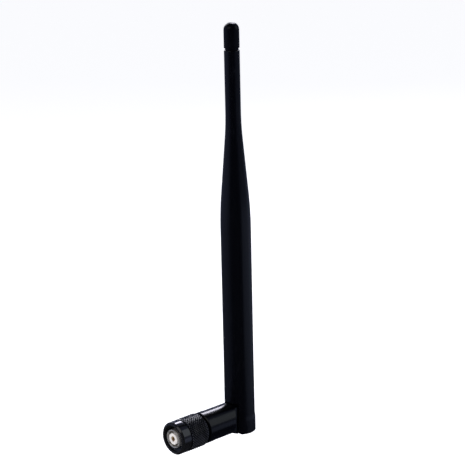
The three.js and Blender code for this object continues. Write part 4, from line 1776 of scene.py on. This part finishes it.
@dataclass
class Studio:
    """Floor, surroundings, lamps and camera.

    Args:
        aim: the point that the camera faces, in metres.
        azimuth, elevation, roll: the camera's angles in degrees.
        distance: the camera's distance in metres.
        lens: its focal length in millimetres.
        sensor: its sensor's width in millimetres.
        offset: how far the camera is moved sideways and up, in metres.
        clip: the nearest and farthest distances that it sees, in metres.
        floor_z: the floor's height; the antenna is held by its plug, well above it.
        floor_size, floor_grey, floor_gloss, floor_light: half the floor's width, and its finish.
        right_glow, left_glow, back_glow: start and level of the room's brightness on three sides.
        above_floor: the upward slopes between which that brightness fades in.
        high_glow: a brightness above and behind.
        ambient: the room's brightness elsewhere.
        tint: the room's colour where it is mirrored.
        lamp_aim: the point that the lamps face, in metres.
    """

    aim: Triple = (0.0, 0.039, 0.085)
    azimuth: float = 47.537
    elevation: float = 17.194
    roll: float = -1.307
    distance: float = 0.8
    lens: float = 145.85
    sensor: float = 36
    offset: Span = (-0.001365, -0.001913)
    clip: Span = (0.01, 50)
    floor_z: float = -0.2
    floor_size: float = 20
    floor_grey: float = 0.82
    floor_gloss: float = 0.9
    floor_light: float = 0.9
    right_glow: Span = (0.45, 0.12)
    left_glow: Span = (0.55, 0.24)
    back_glow: Span = (0.45, 0.25)
    above_floor: Span = (-0.5, -0.2)
    high_glow: Glow = Glow((0, 0.65, 0.76), 0.7, 0.12)
    ambient: float = 0.018
    tint: Colour = (0.55, 0.63, 1.0, 1)
    lamp_aim: Triple = (0, 0.03, 0.02)

    def build(self) -> None:
        """Builds the studio."""
        self.camera()
        self.floor()
        self.surroundings()
        self.lamps()

    def axes(self) -> tuple[Vector, Vector, Vector]:
        """Works out the camera's directions.

        Returns:
            Right, up and back.
        """
        a, e, c = (math.radians(v) for v in (self.azimuth, self.elevation, self.roll))
        right = Vector((math.cos(a), math.sin(a), 0))
        back = Vector((math.sin(a) * math.cos(e), -math.cos(a) * math.cos(e), math.sin(e)))
        up = back.cross(right)
        return (right * math.cos(c) + up * math.sin(c), up * math.cos(c) - right * math.sin(c), back)

    def camera(self) -> None:
        """Sets up the camera."""
        right, up, back = self.axes()
        data = bpy.data.cameras.new("camera")
        data.sensor_width = self.sensor
        data.lens = self.lens
        data.clip_start, data.clip_end = self.clip
        camera = bpy.data.objects.new("camera", data)
        bpy.context.scene.collection.objects.link(camera)
        place = Vector(self.aim) + right * self.offset[0] + up * self.offset[1] + back * self.distance
        turn = Matrix((right, up, back)).transposed().to_4x4()
        camera.matrix_world = Matrix.Translation(place) @ turn
        bpy.context.scene.camera = camera

    def floor(self) -> None:
        """Lays the pale floor, which is clear from below."""
        shape = bmesh.new()
        bmesh.ops.create_grid(shape, x_segments=1, y_segments=1, size=self.floor_size)
        bmesh.ops.translate(shape, vec=(0, 0, self.floor_z), verts=shape.verts[:])
        floor = loose_object(shape, "floor")
        floor.visible_glossy = False
        material = bpy.data.materials.new("pale_floor")
        material.use_nodes = True
        tree = material.node_tree
        shader = tree.nodes["Principled BSDF"]
        shader.inputs["Base Color"].default_value = (self.floor_grey,) * 3 + (1,)
        shader.inputs["Roughness"].default_value = self.floor_gloss
        shader.inputs["Emission Color"].default_value = (1, 1, 1, 1)
        shader.inputs["Emission Strength"].default_value = self.floor_light
        clear = tree.nodes.new("ShaderNodeBsdfTransparent")
        facing = tree.nodes.new("ShaderNodeNewGeometry")
        mix = tree.nodes.new("ShaderNodeMixShader")
        tree.links.new(facing.outputs["Backfacing"], mix.inputs["Fac"])
        tree.links.new(shader.outputs["BSDF"], mix.inputs[1])
        tree.links.new(clear.outputs["BSDF"], mix.inputs[2])
        tree.links.new(mix.outputs["Shader"], tree.nodes["Material Output"].inputs["Surface"])
        floor.data.materials.append(material)

    def glow(self, nodes: Nodes, way: Socket, glow: Glow) -> Socket:
        """Adds a brightness on one side of the room.

        Args:
            nodes: the room's nodes.
            way: the ray's direction.
            glow: the brightness.

        Returns:
            How bright the room is that way.
        """
        dot = nodes.vector(way, VectorStep.ALONG, glow.towards).outputs["Value"]
        return nodes.ranged(dot, (glow.start, 1.0), (0, glow.level))

    def brightness(self, nodes: Nodes) -> Socket:
        """Makes the room's brightness where it is mirrored.

        Args:
            nodes: the room's nodes.

        Returns:
            The brightness.
        """
        a = math.radians(self.azimuth)
        right = (math.cos(a), math.sin(a), 0)
        left = (-right[0], -right[1], 0)
        behind = (-math.sin(a), math.cos(a), 0)
        way = nodes.tree.nodes.new("ShaderNodeTexCoord").outputs["Generated"]
        level = self.glow(nodes, way, Glow(right, *self.right_glow))
        level = nodes.combine(level, self.glow(nodes, way, Glow(left, *self.left_glow)), Together.ADD)
        level = nodes.combine(level, self.glow(nodes, way, Glow(behind, *self.back_glow)), Together.ADD)
        upward = nodes.vector(way, VectorStep.ALONG, (0, 0, 1)).outputs["Value"]
        level = nodes.combine(level, nodes.ranged(upward, self.above_floor, (0, 1)), Together.TIMES)
        level = nodes.combine(level, self.glow(nodes, way, self.high_glow), Together.ADD)
        return nodes.combine(level, self.ambient, Together.ADD)

    def surroundings(self) -> None:
        """Makes the room: white to look at, and dim and bluish where it is mirrored."""
        world = bpy.data.worlds.new("room")
        bpy.context.scene.world = world
        world.use_nodes = True
        tree = world.node_tree
        tree.nodes.clear()
        dim = tree.nodes.new("ShaderNodeBackground")
        dim.inputs["Color"].default_value = self.tint
        tree.links.new(self.brightness(Nodes(tree)), dim.inputs["Strength"])
        bright = tree.nodes.new("ShaderNodeBackground")
        bright.inputs["Color"].default_value = (1, 1, 1, 1)
        seen = tree.nodes.new("ShaderNodeLightPath").outputs["Is Camera Ray"]
        mix = tree.nodes.new("ShaderNodeMixShader")
        tree.links.new(seen, mix.inputs["Fac"])
        tree.links.new(dim.outputs["Background"], mix.inputs[1])
        tree.links.new(bright.outputs["Background"], mix.inputs[2])
        output = tree.nodes.new("ShaderNodeOutputWorld")
        tree.links.new(mix.outputs["Shader"], output.inputs["Surface"])
        bpy.context.scene.view_settings.view_transform = "Standard"

    def lamps(self) -> None:
        """Hangs the softboxes."""
        for lamp in (
            Lamp("top_strip", (-0.55, 0.645, 0.53), 1.2, (0.28, 0.28), 11.0, (0.90, 0.88, 1.0)),
            Lamp("side_soft", (0.61, 0.645, 0.46), 1.2, (0.75, 0.75), 0.42, (0.93, 1.0, 0.98)),
            Lamp("left_high", (-0.86, 0.27, 0.42), 1.1, (0.55, 0.6), 3.6, (0.94, 0.95, 1.0)),
            Lamp("mouth_soft", (0.1, -1.0, 0.85), 1.1, (0.7, 0.5), 0.5, (1.0, 0.98, 0.96)),
            Lamp("right_card", (0.675, 0.738, -0.26), 0.5, (0.9, 0.2), 0.17, (0.62, 0.72, 1.0)),
            Lamp("front_fill", (0.1, -1.0, 0.45), 1.2, (0.9, 0.9), 2.3, (1.0, 0.95, 0.935), False),
        ):
            lamp.build(Vector(self.lamp_aim))


# ------------------------------------------------------------------ the antenna


def main() -> None:
    """Builds the antenna and its studio."""
    logging.basicConfig(level=logging.INFO, format="%(name)s %(message)s")
    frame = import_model()
    Studio().build()
    low, high = box_mm("hinge_pin_right")
    hinge = HingeSizes(pin_y=round((low.y + high.y) / 2, 3))
    finishes = Finishes()
    CouplingNut(finishes).build()
    SpringSleeve(finishes).build()
    ContactCore(finishes).build()
    PlugBody(finishes).build()
    SwivelBase(finishes, hinge).build()
    HingeCable(finishes, hinge).build()
    Radome(finishes, hinge).build()
    InnerParts(finishes, frame["nodes"]).dress()


if __name__ == "__main__":
    main()
